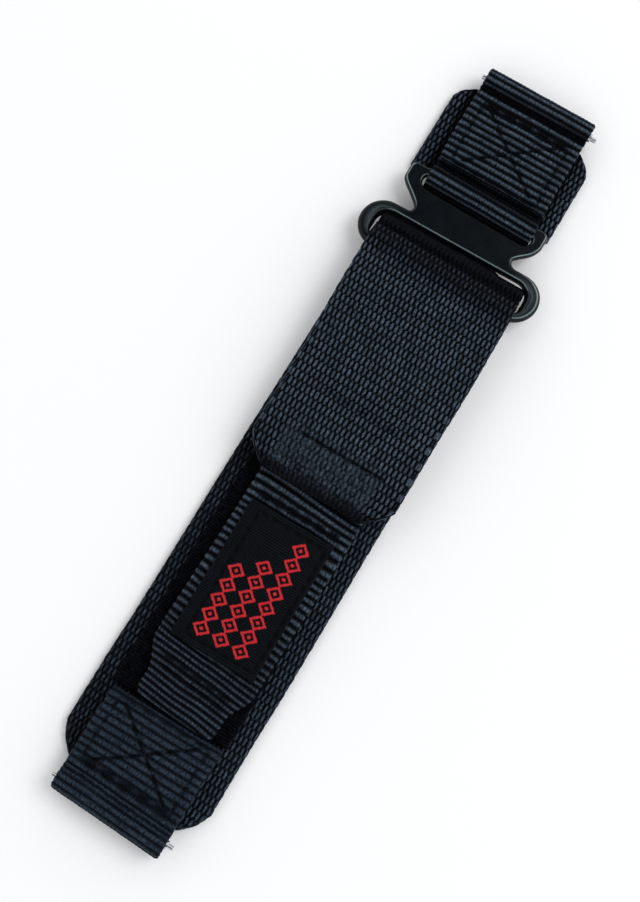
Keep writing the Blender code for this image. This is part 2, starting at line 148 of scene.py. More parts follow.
@dataclass(frozen=True)
class Box:
    """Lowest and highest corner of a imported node, in millimetres."""

    low: tuple[float, float, float]
    high: tuple[float, float, float]

    @classmethod
    def of(cls, node: str) -> "Box":
        """Box of the named node at rest."""
        low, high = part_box(node)
        return cls(tuple(v / MM for v in low), tuple(v / MM for v in high))

    @property
    def ply(self) -> float:
        """Thickness of the node."""
        return self.high[2] - self.low[2]

    @property
    def middle(self) -> tuple[float, float, float]:
        """Middle of the node."""
        return tuple((low + high) / 2 for low, high in zip(self.low, self.high))


@dataclass
class SoftNoise:
    """Smooth seeded noise over a plane, from -1 to 1."""

    seed: int
    cell: float
    cells: int = 97
    table: Array = field(init=False)

    def __post_init__(self) -> None:
        """Draw the lattice values."""
        self.table = np.random.default_rng(self.seed).uniform(-1, 1, (self.cells, self.cells))

    def at(self, x: Array, y: Array) -> Array:
        """Noise at places in millimetres.

        Args:
            x: Places across.
            y: Places along, of the same shape.

        Returns:
            Values from -1 to 1.
        """
        u, v = x / self.cell, y / self.cell
        i, j = np.floor(u).astype(int), np.floor(v).astype(int)
        fu, fv = ease(u - i), ease(v - j)
        near, far = (self.table[i % self.cells, k % self.cells] * (1 - fu)
                     + self.table[(i + 1) % self.cells, k % self.cells] * fu for k in (j, j + 1))
        return near * (1 - fv) + far * fv


def mend(merge: bool = False, fill: bool = False) -> None:
    """Turn the active mesh's faces outwards.

    Args:
        merge: Whether its doubles are merged first.
        fill: Whether its holes are filled first.
    """
    bpy.ops.object.mode_set(mode="EDIT")
    bpy.ops.mesh.select_all(action="SELECT")
    if merge:
        bpy.ops.mesh.remove_doubles(threshold=MERGE_GAP)
    if fill:
        bpy.ops.mesh.fill_holes(sides=0)
        bpy.ops.mesh.select_all(action="SELECT")
    bpy.ops.mesh.normals_make_consistent(inside=False)
    bpy.ops.object.mode_set(mode="OBJECT")


def lay_grid(name: str, points: Array, marks: dict[Mark, Array] | None = None,
             surface: Array | None = None, closed: bool = True) -> Piece:
    """Lay a grid primitive over rows of points, and close it into a solid where it is a tube.

    Args:
        name: Name of the piece.
        points: Rows by columns by X, Y, Z, in millimetres.
        marks: Surface values, rows by columns.
        surface: Across and along coordinates for the piece's UV map, rows by columns by 2.
        closed: Whether it is a tube, whose last column meets the first.

    Returns:
        The new object, at the origin.
    """
    rows, columns = points.shape[:2]
    bpy.ops.object.select_all(action="DESELECT")
    bpy.ops.mesh.primitive_grid_add(x_subdivisions=columns - 1, y_subdivisions=rows - 1,
                                    size=1.0, calc_uvs=False)
    obj = bpy.context.active_object
    obj.name = obj.data.name = name
    mesh = obj.data
    for values in (points, *(marks or {}).values()):
        if closed:
            values[:, -1] = values[:, 0]
    mesh.vertices.foreach_set("co", (points.reshape(-1) * MM).astype(np.float32))
    for mark, values in (marks or {}).items():
        layer = mesh.attributes.new(mark.value, "FLOAT", "POINT")
        layer.data.foreach_set("value", values.reshape(-1).astype(np.float32))
    if surface is not None:
        corners = np.empty(len(mesh.loops), np.int32)
        mesh.loops.foreach_get("vertex_index", corners)
        layer = mesh.uv_layers.new(name=STRIP_UV)
        layer.data.foreach_set("uv", surface.reshape(-1, 2)[corners].astype(np.float32).reshape(-1))
    mend(merge=closed, fill=closed)
    bpy.ops.object.shade_smooth_by_angle(angle=SHARP_TURN)
    return obj


def placed(axes: Array, place: tuple[float, float, float]) -> Array:
    """Matrix of a copy, from its axes as columns and its place in millimetres."""
    matrix = np.eye(4)
    matrix[:3, :3], matrix[:3, 3] = axes, np.array(place) * MM
    return matrix


def copies(name: str, pattern: Piece, places: list[Array]) -> Piece:
    """Repeat a modelled pattern as one mesh of separate copies, and remove the pattern.

    Args:
        name: Name of the piece.
        pattern: Object modelled once, about the origin.
        places: The matrix of each copy, in metres.

    Returns:
        The new object, at the origin.
    """
    mesh = pattern.data
    count = len(mesh.vertices)
    verts = np.empty(count * 3, np.float32)
    mesh.vertices.foreach_get("co", verts)
    verts = np.c_[verts.reshape(-1, 3), np.ones(count, np.float32)]
    moved = np.einsum("kij,vj->kvi", np.array(places), verts)[:, :, :3]
    faces = [tuple(p.vertices) for p in mesh.polygons]
    all_faces = [tuple(v + k * count for v in f) for k in range(len(places)) for f in faces]
    new = bpy.data.meshes.new(name)
    new.from_pydata(moved.reshape(-1, 3).tolist(), [], all_faces)
    bpy.data.objects.remove(pattern)
    obj = bpy.data.objects.new(name, new)
    bpy.context.scene.collection.objects.link(obj)
    bpy.ops.object.select_all(action="DESELECT")
    obj.select_set(True)
    bpy.context.view_layer.objects.active = obj
    bpy.ops.object.shade_smooth()
    return obj


def coat(obj: Piece, material: bpy.types.Material) -> None:
    """Give an object its material, and log it with its number of faces."""
    obj.data.materials.clear()
    obj.data.materials.append(material)
    log.info("%s: %d faces", obj.name, len(obj.data.polygons))


def dress(obj: Piece, material: bpy.types.Material, slot: Slot, body: Body | None,
          *nodes: str) -> None:
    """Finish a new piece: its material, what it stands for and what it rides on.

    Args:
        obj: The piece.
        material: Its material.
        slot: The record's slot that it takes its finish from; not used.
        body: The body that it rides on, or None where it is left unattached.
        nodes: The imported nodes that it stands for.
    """
    coat(obj, material)
    if nodes:
        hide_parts(*nodes)
    if body:
        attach(obj, body.value)


class Nodes:
    """Short calls for building a node tree."""

    def __init__(self, tree: bpy.types.NodeTree) -> None:
        """Start on a tree."""
        self.tree = tree

    def feed(self, node: bpy.types.Node, inputs: dict) -> None:
        """Set a node's inputs, by name or number, to values or output sockets."""
        for key, value in inputs.items():
            if isinstance(value, Socket):
                self.tree.links.new(value, node.inputs[key])
            else:
                node.inputs[key].default_value = value

    def add(self, kind: str, inputs: dict | None = None, **settings: object) -> bpy.types.Node:
        """Add a node.

        Args:
            kind: The node's type name, such as ShaderNodeMath.
            inputs: Values or output sockets, by input name or number.
            settings: Properties of the node.

        Returns:
            The new node.
        """
        node = self.tree.nodes.new(kind)
        for key, value in settings.items():
            setattr(node, key, value)
        self.feed(node, inputs or {})
        return node

    def math(self, operation: str, *values: object) -> Socket:
        """Result of a math node on numbers or sockets."""
        return self.add("ShaderNodeMath", dict(enumerate(values)), operation=operation).outputs[0]

    def mix(self, share: object, low: object, high: object) -> Socket:
        """Colour between low and high by a share."""
        return self.add("ShaderNodeMix", {0: share, 6: low, 7: high}, data_type="RGBA").outputs[2]

    def spread(self, value: object, low: float, high: float) -> Socket:
        """Value from 0 to 1 turned into one from low to high."""
        return self.add("ShaderNodeMapRange", {0: value, 3: low, 4: high}).outputs[0]

    def noise(self, place: object, scale: object, detail: float) -> Socket:
        """Noise at a place, from 0 to 1."""
        inputs = {"Vector": place, "Scale": scale, "Detail": detail}
        return self.add("ShaderNodeTexNoise", inputs).outputs[0]

    def mark(self, mark: Mark) -> Socket:
        """Surface value that the mesh carries."""
        settings = {"attribute_name": mark.value, "attribute_type": "GEOMETRY"}
        return self.add("ShaderNodeAttribute", **settings).outputs["Fac"]

    def bump(self, height: Socket, strength: float, relief: float) -> Socket:
        """Normal of a fine relief, whose full depth is in metres."""
        inputs = {"Strength": strength, "Distance": relief, "Height": height}
        return self.add("ShaderNodeBump", inputs).outputs[0]


FLOAT = "NodeSocketFloat"
COLOUR = "NodeSocketColor"


def new_group(name: str, inputs: dict[str, tuple[str, object]], outputs: dict[str, str]) -> tuple:
    """Start a shader node group.

    Args:
        name: Name of the group.
        inputs: Socket type and default value, by name.
        outputs: Socket type, by name.

    Returns:
        The group, its Nodes, the group's input sockets and its output node.
    """
    tree = bpy.data.node_groups.new(name, "ShaderNodeTree")
    for label, (kind, default) in inputs.items():
        tree.interface.new_socket(label, in_out="INPUT", socket_type=kind).default_value = default
    for label, kind in outputs.items():
        tree.interface.new_socket(label, in_out="OUTPUT", socket_type=kind)
    n = Nodes(tree)
    return tree, n, n.add("NodeGroupInput").outputs, n.add("NodeGroupOutput")


def yarn_group() -> bpy.types.NodeTree:
    """Fine filaments of a yarn on the strip's own surface coordinates, as a height."""
    tree, n, given, result = new_group(
        "yarn filaments",
        {"Across": (FLOAT, 9.0), "Along": (FLOAT, 1.5), "Twist": (FLOAT, 0.3)},
        {"Height": FLOAT, "Tone": FLOAT})
    uv = n.add("ShaderNodeUVMap", uv_map=STRIP_UV).outputs[0]
    across, along, _ = n.add("ShaderNodeSeparateXYZ", {0: uv}).outputs
    twisted = n.math("ADD", across, n.math("MULTIPLY", along, given["Twist"]))
    place = n.add("ShaderNodeCombineXYZ", {0: n.math("MULTIPLY", twisted, given["Across"]),
                                           1: n.math("MULTIPLY", along, given["Along"])})
    n.feed(result, {"Height": n.noise(place.outputs[0], 1.0, 3.0), "Tone": n.noise(uv, 0.22, 3.0)})
    return tree


def depth_group() -> bpy.types.NodeTree:
    """Colour with painted shade, which darkens from a yarn's crown down to the gaps between yarns."""
    tree, n, given, result = new_group(
        "crown and gap",
        {"Crown": (COLOUR, (0.02, 0.02, 0.03, 1)), "Gap": (COLOUR, (0.002, 0.002, 0.003, 1)),
         "Low": (FLOAT, 0.2), "High": (FLOAT, 0.8), "Tone": (FLOAT, 0.5), "Tone Range": (FLOAT, 0.3),
         "Fleck": (FLOAT, 0.5), "Fleck Range": (FLOAT, 0.5)},
        {"Color": COLOUR, "Height": FLOAT})
    limits = {0: n.mark(Mark.CROWN), 1: given["Low"], 2: given["High"], 3: 0.0, 4: 1.0}
    share = n.add("ShaderNodeMapRange", limits, interpolation_type="SMOOTHSTEP").outputs[0]
    gains = []
    for value in ("Tone", "Fleck"):
        swing = n.math("MULTIPLY", n.math("SUBTRACT", given[value], 0.5), given[f"{value} Range"])
        gains.append(n.math("MAXIMUM", n.math("ADD", n.math("MULTIPLY", swing, 2.0), 1.0), 0.1))
    colour = n.add("ShaderNodeVectorMath", {0: n.mix(share, given["Gap"], given["Crown"]),
                                            3: n.math("MULTIPLY", *gains)}, operation="SCALE")
    n.feed(result, {"Color": colour.outputs[0], "Height": share})
    return tree


def scuff_group() -> bpy.types.NodeTree:
    """Soft smudges and fine scratches of handled metal, as a mask and a height."""
    tree, n, given, result = new_group(
        "scuffs", {"Scale": (FLOAT, 400.0), "Grain": (FLOAT, 9000.0)},
        {"Smudge": FLOAT, "Height": FLOAT})
    place = n.add("ShaderNodeTexCoord").outputs["Object"]
    n.feed(result, {"Smudge": n.noise(place, given["Scale"], 4.0),
                    "Height": n.noise(place, given["Grain"], 2.0)})
    return tree


@dataclass
class Effects:
    """The shared node groups, built once."""

    yarn: bpy.types.NodeTree = field(default_factory=yarn_group)
    depth: bpy.types.NodeTree = field(default_factory=depth_group)
    scuffs: bpy.types.NodeTree = field(default_factory=scuff_group)


def start_material(name: str) -> tuple[bpy.types.Material, Nodes, bpy.types.Node]:
    """Start a material, and return it with its Nodes and its Principled shader."""
    material = bpy.data.materials.new(name)
    material.use_nodes = True
    return material, Nodes(material.node_tree), material.node_tree.nodes["Principled BSDF"]


@dataclass(frozen=True)
class FabricFinish:
    """Nylon yarns: crowns lighter and gaps darker by painted shade, and fine filaments."""

    name: str
    crown: Colour
    # colour of the painted shade in the gaps between yarns
    gap: Colour
    low: float = 0.15
    high: float = 0.75
    roughness: float = 0.5
    gloss: float = 0.15
    filaments: tuple[float, float] = (9.0, 1.4)
    twist: float = 0.25
    bump: float = 0.35
    tone_range: float = 0.35
    fleck_range: float = 2.2
    motif: Colour | None = None

    def material(self, effects: Effects) -> bpy.types.Material:
        """Build the material.

        Args:
            effects: The shared node groups.

        Returns:
            The finished material.
        """
        material, n, shader = start_material(self.name)
        yarn = n.add("ShaderNodeGroup", node_tree=effects.yarn)
        n.feed(yarn, {"Across": self.filaments[0], "Along": self.filaments[1], "Twist": self.twist})
        height = yarn.outputs["Height"]
        depth = n.add("ShaderNodeGroup", node_tree=effects.depth)
        n.feed(depth, {"Crown": (*self.crown, 1), "Gap": (*self.gap, 1),
                       "Low": self.low, "High": self.high,
                       "Tone": yarn.outputs["Tone"], "Tone Range": self.tone_range,
                       "Fleck": height, "Fleck Range": self.fleck_range})
        colour = depth.outputs["Color"]
        if self.motif:
            colour = n.mix(n.mark(Mark.MOTIF), colour, (*self.motif, 1))
        n.feed(shader, {"Base Color": colour, "Specular IOR Level": self.gloss,
                        "Roughness": n.spread(height, self.roughness - 0.08, self.roughness + 0.12),
                        "Normal": n.bump(height, self.bump, YARN_RELIEF)})
        return material


@dataclass(frozen=True)
class SteelFinish:
    """Steel, bare or coated black, with smudges, a fine grain and, where given, a painted highlight along
    its rims.
    """

    name: str
    colour: Colour
    wear_and_highlight: Colour
    roughness: float
    metallic: float
    gloss: float = 0.5
    bump: float = 0.15
    # colour of the painted highlight along the rims
    rim: Colour | None = None

    def material(self, effects: Effects) -> bpy.types.Material:
        """Build the material.

        Args:
            effects: The shared node groups.

        Returns:
            The finished material.
        """
        material, n, shader = start_material(self.name)
        scuffs = n.add("ShaderNodeGroup", node_tree=effects.scuffs)
        smudge = scuffs.outputs["Smudge"]
        colour = n.mix(smudge, (*self.colour, 1), (*self.wear_and_highlight, 1))
        # Painted highlight along the rims, varied by the smudges.
        if self.rim:
            painted_highlight = n.math("MULTIPLY", n.mark(Mark.RIM), n.spread(smudge, 0.45, 1.35))
            colour = n.mix(painted_highlight, colour, (*self.rim, 1))
        n.feed(shader, {"Base Color": colour, "Metallic": self.metallic, "Specular IOR Level": self.gloss,
                        "Roughness": n.spread(smudge, self.roughness - 0.08, self.roughness + 0.1),
                        "Normal": n.bump(scuffs.outputs["Height"], self.bump, GRAIN_RELIEF)})
        return material


# Each fabric's gap colour below is painted shade in the gaps between its yarns.
WEBBING = FabricFinish(
    "coarse navy webbing", crown=(0.051, 0.070, 0.096), gap=(0.0004, 0.0010, 0.0022),
    low=0.22, high=1.02, gloss=0.05, filaments=(4.6, 2.6))
BASE_WEBBING = replace(WEBBING, name="base navy webbing", gap=(0.0016, 0.0026, 0.0044))
GROSGRAIN = FabricFinish(
    "navy grosgrain", crown=(0.048, 0.065, 0.088), gap=(0.0003, 0.0008, 0.0019),
    low=0.16, high=0.97, gloss=0.04, filaments=(4.4, 1.6), twist=0.0, roughness=0.45)
# Painted shade: a darker copy of the grosgrain, with less contrast, for the lower band.
SHADED_LOWER_GROSGRAIN = replace(
    GROSGRAIN, name="shaded lower navy grosgrain", crown=(0.019, 0.028, 0.042), gap=(0.0026, 0.0040, 0.0070))
THREAD = FabricFinish(
    "navy thread", crown=(0.0016, 0.0024, 0.0036), gap=(0.0016, 0.0024, 0.0036),
    filaments=(6.0, 6.0), gloss=0.04)
LOOPS = FabricFinish(
    "brushed loops", crown=(0.0035, 0.0045, 0.007), gap=(0.0006, 0.0008, 0.0015),
    roughness=0.7, gloss=0.03)
HOOKS = FabricFinish(
    "hook tape", crown=(0.006, 0.007, 0.009), gap=(0.002, 0.002, 0.003), roughness=0.4)
LABEL = FabricFinish(
    "woven label", crown=(0.0035, 0.0060, 0.0090), gap=(0.0008, 0.001, 0.0015),
    filaments=(4.0, 8.0), roughness=0.6, gloss=0.05, motif=(0.50, 0.022, 0.028))
# The black steel's rim colour is a painted highlight.
BLACK_STEEL = SteelFinish(
    "satin black steel", colour=(0.0004, 0.0018, 0.0034), wear_and_highlight=(0.0010, 0.0030, 0.0050),
    roughness=0.26, metallic=0.0, gloss=0.15, rim=(0.27, 0.35, 0.37))
BRIGHT_STEEL = SteelFinish(
    "bright steel", colour=(0.60, 0.61, 0.63), wear_and_highlight=(0.50, 0.51, 0.53), roughness=0.25, metallic=1.0)


@dataclass(frozen=True)
class StripPath:
    """Middle line of a strip, seen from its side, as Y and Z at even steps."""

    points: Array
    lengths: Array

    @classmethod
    def through(cls, corners: list[Point], softness: float = 0.0, step: float = 0.04) -> "StripPath":
        """Round a run of corners into a smooth path.

        Args:
            corners: Y and Z of each corner, in order.
            softness: How far along the path the rounding reaches.
            step: Distance between the path's points.

        Returns:
            The path.
        """
        run = np.array(corners, float)
        reach = run_lengths(run)
        line = on_line(np.linspace(0, reach[-1], max(int(reach[-1] / step), 8)), reach, run)
        if softness > 0:
            half = int(3 * softness / step)
            window = np.exp(-0.5 * (np.arange(-half, half + 1) * step / softness) ** 2)
            window /= window.sum()
            first = line[0] + (line[0] - line[1]) * np.arange(half, 0, -1)[:, None]
            last = line[-1] + (line[-1] - line[-2]) * np.arange(1, half + 1)[:, None]
            padded = np.r_[first, line, last]
            line = np.stack([np.convolve(padded[:, k], window, "valid") for k in (0, 1)], -1)
        return cls(line, run_lengths(line))

    @classmethod
    def level(cls, low: float, high: float, z: float) -> "StripPath":
        """Straight level path between two places along the strap."""
        return cls.through([(low, z), (high, z)])

    @property
    def length(self) -> float:
        """Whole length of the path."""
        return float(self.lengths[-1])

    def at(self, t: Array) -> tuple[Array, Array]:
        """Places on the path and the normals on its left, at lengths along it."""
        tangent = on_line(t, self.lengths, np.gradient(self.points, self.lengths, axis=0))
        ty, tz = tangent[..., 0], tangent[..., 1]
        size = np.hypot(ty, tz)
        return on_line(t, self.lengths, self.points), np.stack([-tz / size, ty / size], -1)


def arc_points(centre: Point, radius: float, start: float, end: float, step: float = 8.0) -> list[Point]:
    """Points on an arc, a step in degrees apart, from the start angle to the end angle."""
    angles = np.radians(np.linspace(start, end, max(int(abs(end - start) / step), 2) + 1))
    return [(centre[0] + radius * math.cos(a), centre[1] + radius * math.sin(a)) for a in angles]


@dataclass(frozen=True)
class BasketWeave:
    """Long warp floats laid like bricks, each course half a float aside from the next."""

    column: float = 0.832
    row: float = 1.46
    depth: float = 0.46
    gap: float = 0.22
    reach: float = 0.54
    per_column: int = 6
    seed: int = 11
    least: float = 0.76
    stray: float = 0.08
    lean: float = 0.10
    taper: float = 0.3
    end_power: float = 3.5
    repeat: tuple[int, int] = (211, 101)

    def samples(self, round_length: float) -> int:
        """Number of samples round the strip, which puts one on every gap."""
        return self.per_column * round(round_length / self.column)

    def crown(self, across: Array, along: Array, round_length: float) -> Array:
        """Height of the floats.

        Args:
            across: Places round the strip.
            along: Places along it.
            round_length: Length once round the strip, which holds a whole number of floats.

        Returns:
            Heights from 0 in the gaps to 1 on the crowns.
        """
        rng = np.random.default_rng(self.seed)
        gain = rng.uniform(self.least, 1.0, self.repeat)
        drift = rng.uniform(-self.stray, self.stray, self.repeat)
        slant = rng.uniform(-self.lean, self.lean, self.repeat)
        column = round_length / round(round_length / self.column)
        first = np.floor(along / self.row - 0.5).astype(int)
        best = np.zeros(np.broadcast(across, along).shape)
        for course in (first, first + 1):
            g = along / self.row - 0.5 - course
            phase = across / column + 0.5 * (course % 2)
            number = np.round(phase).astype(int)
            i, j = number % self.repeat[0], course % self.repeat[1]
            waist = (1 - self.gap) * (1 - self.taper * np.clip(np.abs(g) / self.reach, 0, 1) ** 2)
            f = (phase - number + drift[i, j] * 0.5 + slant[i, j] * g) / waist
            side = np.sqrt(np.clip(1 - (2 * f) ** 2, 0, 1))
            end = np.sqrt(np.clip(1 - np.abs(g / self.reach) ** self.end_power, 0, 1))
            best = np.maximum(best, gain[i, j] * side * end)
        return best


@dataclass(frozen=True)
class RibWeave:
    """Grosgrain: round ribs across the strip, with fine warp between them."""

    pitch: float = 1.21
    depth: float = 0.34
    wander: float = 0.10
    seed: int = 23
    bead: float = 0.66
    bead_depth: float = 0.22
    tilt: float = 0.0
    thin: float = 0.9

    def samples(self, round_length: float) -> int:
        """Number of samples round the strip, four to each warp yarn."""
        return 4 * round(round_length / self.bead)

    def crown(self, across: Array, along: Array, round_length: float) -> Array:
        """Height of the ribs.

        Args:
            across: Places round the strip.
            along: Places along it.
            round_length: Length once round the strip.

        Returns:
            Heights from 0 in the gaps to 1 on the ribs.
        """
        drift = SoftNoise(self.seed, 5.0).at(across, along) * self.wander
        drift = drift - self.tilt * np.sin(math.tau * (across / round_length - 0.75))
        swell = SoftNoise(self.seed + 1, 1.3).at(across, along * 2)
        place = (along + drift) / self.pitch
        rib = (0.5 + 0.5 * np.cos(math.tau * place)) ** self.thin
        warp = across * round(round_length / self.bead) / round_length + 0.5 * (np.round(place) % 2)
        bead = 0.5 - 0.5 * np.cos(math.tau * warp)
        return np.clip(rib * (0.90 + 0.10 * swell) * (1 - self.bead_depth * bead), 0, 1)


@dataclass(frozen=True)
class Seam:
    """Rows of stitches on a level face, as runs between points in X and Y."""

    runs: tuple[tuple[Point, Point], ...]
    pitch: float = 2.6
    gap: float = 0.55
    reach: float = 0.5
    weight: float = 1.0
    slack: float = 0.45

    def stitches(self) -> list[tuple[Array, Array]]:
        """Start and end of every stitch."""
        found = []
        for start, end in self.runs:
            a, b = np.array(start, float), np.array(end, float)
            span = np.linalg.norm(b - a)
            count = max(round(span / self.pitch), 1)
            cut = self.gap / 2 * (b - a) / span
            found += [(a + (b - a) * k / count + cut, a + (b - a) * (k + 1) / count - cut)
                      for k in range(count)]
        return found

    def pull(self, x: Array, y: Array) -> Array:
        """How far the thread pulls the fabric in, from 0 to 1."""
        depth = np.zeros(np.broadcast(x, y).shape)
        for a, b in self.stitches():
            d = b - a
            share = np.clip(((x - a[0]) * d[0] + (y - a[1]) * d[1]) / (d @ d), 0, 1)
            away = np.hypot(x - a[0] - share * d[0], y - a[1] - share * d[1])
            ends = 1 - self.slack * np.abs(2 * share - 1) ** 3
            depth = np.maximum(depth, np.exp(-(away / self.reach) ** 2) * ends)
        return depth * self.weight


@dataclass
class Strip:
    """A woven strip with round selvedges, swept along a path, with its weave as relief.

    The functions of one value take places along the path, apart from notch, which takes places
    across. Those of two take X and Y.
    """

    name: str
    path: StripPath
    ply: float
    half_width: float
    weave: BasketWeave | RibWeave
    start: float = 0.0
    end: float | None = None
    phase: Field | None = None
    narrow: Field | None = None
    sway: Field | None = None
    shift: float = 0.0
    seams: tuple[Seam, ...] = ()
    seam_depth: float = 0.3
    press: Plane | None = None
    sealed: tuple[bool, bool] = (True, True)
    along_step: float = 0.24
    droop: tuple[float, float] = (0.0, 1.0)
    notch: Field | None = None
    notch_reach: float = 3.5
    # painted shade: a factor on the crown values, at X and Y
    shade: Plane | None = None
    tuck: Plane | None = None
    swell: float = 0.05
    seal: float = 0.3
    seal_steps: tuple[float, ...] = (0.04, 0.14, 0.3, 0.55, 0.85)
    level: float = 0.62  # height of the crowns that lies on the section's own face
    pressed: float = 0.36  # height of yarns that are pressed flat

    def __post_init__(self) -> None:
        """Settle the section's level half width, its edge's radius and where the strip ends."""
        self.edge = self.ply / 2
        self.flat = self.half_width - self.edge
        if self.end is None:
            self.end = self.path.length

    def sealed_ends(self) -> Iterator[tuple[int, float]]:
        """Each sealed end, as the way in from it and its place along the path."""
        for sealed, inward, place in zip(self.sealed, (1, -1), (self.start, self.end)):
            if sealed:
                yield inward, place

    def stations(self) -> Array:
        """Places along the path at which the strip is sampled, closest at its sealed ends."""
        rows = max(round((self.end - self.start) / self.along_step), 8)
        t = np.linspace(self.start, self.end, rows + 1)
        for inward, here in self.sealed_ends():
            close = here + inward * self.seal * np.array(self.seal_steps)
            t = np.r_[t[np.abs(t - here) > self.seal], here, close]
        return np.sort(t)

    def thinning(self, t: Array) -> Array:
        """Share of the full thickness, which falls off at the sealed ends."""
        thin = np.ones_like(t)
        for _, here in self.sealed_ends():
            depth = np.clip(np.abs(t - here) / self.seal, 0, 1)
            thin = np.minimum(thin, 0.35 + 0.65 * np.sqrt(1 - (1 - depth) ** 2))
        return thin

    def mesh_points(self) -> tuple[Array, Array, Array]:
        """Points, crowns and surface coordinates of the strip's skin.

        Returns:
            Points (rows, columns, 3), crown values (rows, columns) and surface coordinates
            (rows, columns, 2).
        """
        flat, edge = self.flat, self.edge
        turn = math.pi * edge
        total = 4 * flat + math.pi * self.ply
        t = self.stations()[:, None]
        q = np.linspace(0, total, self.weave.samples(total) + 1)[None, :]
        low, right = q < 2 * flat, (q >= 2 * flat) & (q < 2 * flat + turn)
        high = (q >= 2 * flat + turn) & (q < 4 * flat + turn)
        face = low | high
        angle = np.where(right, (q - 2 * flat) / edge - math.pi / 2,
                         (q - 4 * flat - turn) / edge + math.pi / 2)
        share = np.where(low, (q - flat) / flat,
                         np.where(high, (3 * flat + turn - q) / flat, np.where(right, 1.0, -1.0)))
        nx = np.where(face, 0.0, np.cos(angle))
        nh = np.where(low, -1.0, np.where(high, 1.0, np.sin(angle)))
        thin = self.thinning(t)
        x_level = share * (self.half_width - edge - (self.narrow(t) if self.narrow else 0.0))
        across = np.where(low, x_level + flat, np.where(high, 3 * flat + turn - x_level, q + 0 * t))
        shifted = t + 0 * q
        if self.notch:
            notched = np.clip(1 - (t - self.start) / self.notch_reach, 0, 1)
            shifted = t + self.notch(x_level) * notched
        place, normal = self.path.at(shifted)
        y_level = place[:, :, 0]
        x_level = x_level + 0 * y_level
        along = shifted + self.phase(shifted) if self.phase else shifted
        crown = self.weave.crown(across, along, 4 * flat + 2 * turn)
        flatten = self.press(x_level, y_level) if self.press else 0.0
        pull = np.zeros_like(crown)
        for seam in self.seams:
            pull = np.maximum(pull, seam.pull(x_level, y_level))
        grit = SoftNoise(self.weave.seed + 9, 0.42).at(x_level, y_level + 40)
        rough = 0.13 * grit * np.clip(flatten * (1.6 - flatten) / 0.6, 0, 1)
        shown = crown * (1 - 0.6 * flatten) + self.pressed * flatten + rough
        rise = self.weave.depth * (shown - self.level) * thin * (1 - 0.6 * np.abs(nx))
        rise = rise - self.seam_depth * pull * face
        lie = SoftNoise(self.weave.seed + 7, 6.0).at(x_level, y_level + t)
        rise = rise + self.swell * lie * face * (2 * high - 1)
        amount, droop_reach = self.droop
        sink = amount * np.clip(1 - (self.end - t) / droop_reach, 0, 1) ** 2 * (1 + nh) / 2
        h = nh * (edge * thin + rise) - sink
        x = x_level + nx * (edge * thin + rise) + self.shift
        if self.sway:
            x = x + self.sway(t)
        points = np.stack([x, y_level + normal[:, :, 0] * h, place[:, :, 1] + normal[:, :, 1] * h], -1)
        # Painted shade in the stitch dimples; the crowns are also darker towards the sealed ends.
        crown = np.clip(shown * (1 - 0.8 * pull) * (0.4 + 0.6 * thin), 0, 1)
        # Painted shade: the shade function darkens the crown values, and with them the colour.
        if self.shade:
            crown = crown * self.shade(points[:, :, 0], points[:, :, 1])
        if self.tuck:
            points[:, :, 1] -= self.tuck(points[:, :, 0], points[:, :, 1])
        return points, crown, np.stack([q + 0 * t, t + 0 * q], -1)

    def build(self) -> Piece:
        """Make the piece as a closed mesh."""
        points, crown, surface = self.mesh_points()
        return lay_grid(self.name, points, {Mark.CROWN: crown}, surface)


def cut_corner(start: float, inward: int, across: float, along: float, bow: float = 0.5) -> Field:
    """Narrowing of a strip towards a cut-cornered end.

    Args:
        start: Where the end lies along the path.
        inward: 1 where the strip runs on from it, -1 where it runs up to it.
        across: How far each corner is cut across.
        along: How far it is cut along.
        bow: How far the cut bows out.

    Returns:
        Function of places along the path that gives the loss of half width.
    """
    def loss(t: Array) -> Array:
        """Loss of half width at places along the path."""
        share = np.clip(inward * (t - start) / along, 0, 1)
        return across * (1 - share) - bow * np.sin(math.pi * share)
    return loss


def wire_grid(rows: int, sides: int) -> tuple[Array, Array]:
    """Shares along a wire as a column, and angles round it as a row."""
    return np.linspace(0, 1, rows)[:, None], np.linspace(0, math.tau, sides + 1)[None, :]


def thread_pattern(radius: float) -> Piece:
    """One stitch of unit length along X, arched over the fabric and ducking in at both ends."""
    s, a = wire_grid(9, 6)
    size = radius * np.sqrt(np.clip(1 - np.abs(2 * s - 1) ** 5, 0.05, 1))
    lift = -1.6 * radius * np.abs(2 * s - 1) ** 3
    return lay_grid("stitch", np.stack([s + 0 * a, size * np.cos(a), lift + size * np.sin(a)], -1))


def sew(effects: Effects, name: str, seams: tuple[Seam, ...], level: Callable[[float, float], float],
        radius: float, shift: float, slot: Slot, body: Body) -> None:
    """Lay the thread of some seams on a fabric, as one piece.

    Args:
        effects: The shared node groups.
        name: Name of the piece.
        seams: The seams.
        level: Height of the fabric's face at X and Y.
        radius: Radius of the thread.
        shift: How far the fabric is shifted across.
        slot: The record's slot of the fabric.
        body: The body that the fabric rides on.
    """
    places = []
    rng = np.random.default_rng(5)
    for a, b in (stitch for seam in seams for stitch in seam.stitches()):
        wobble = rng.uniform(-0.08, 0.08, 4)
        a, b = a + wobble[:2], b + wobble[2:]
        za = float(level(*a))
        d = np.array([b[0] - a[0], b[1] - a[1], float(level(*b)) - za])
        u = d / np.linalg.norm(d)
        side = np.cross([0, 0, 1.0], u)
        side /= np.linalg.norm(side)
        axes = np.stack([d, side, np.cross(u, side)], 1)
        places.append(placed(axes, (a[0] + shift, a[1], za)))
    thread = copies(name, thread_pattern(radius), places)
    dress(thread, THREAD.material(effects), slot, body)


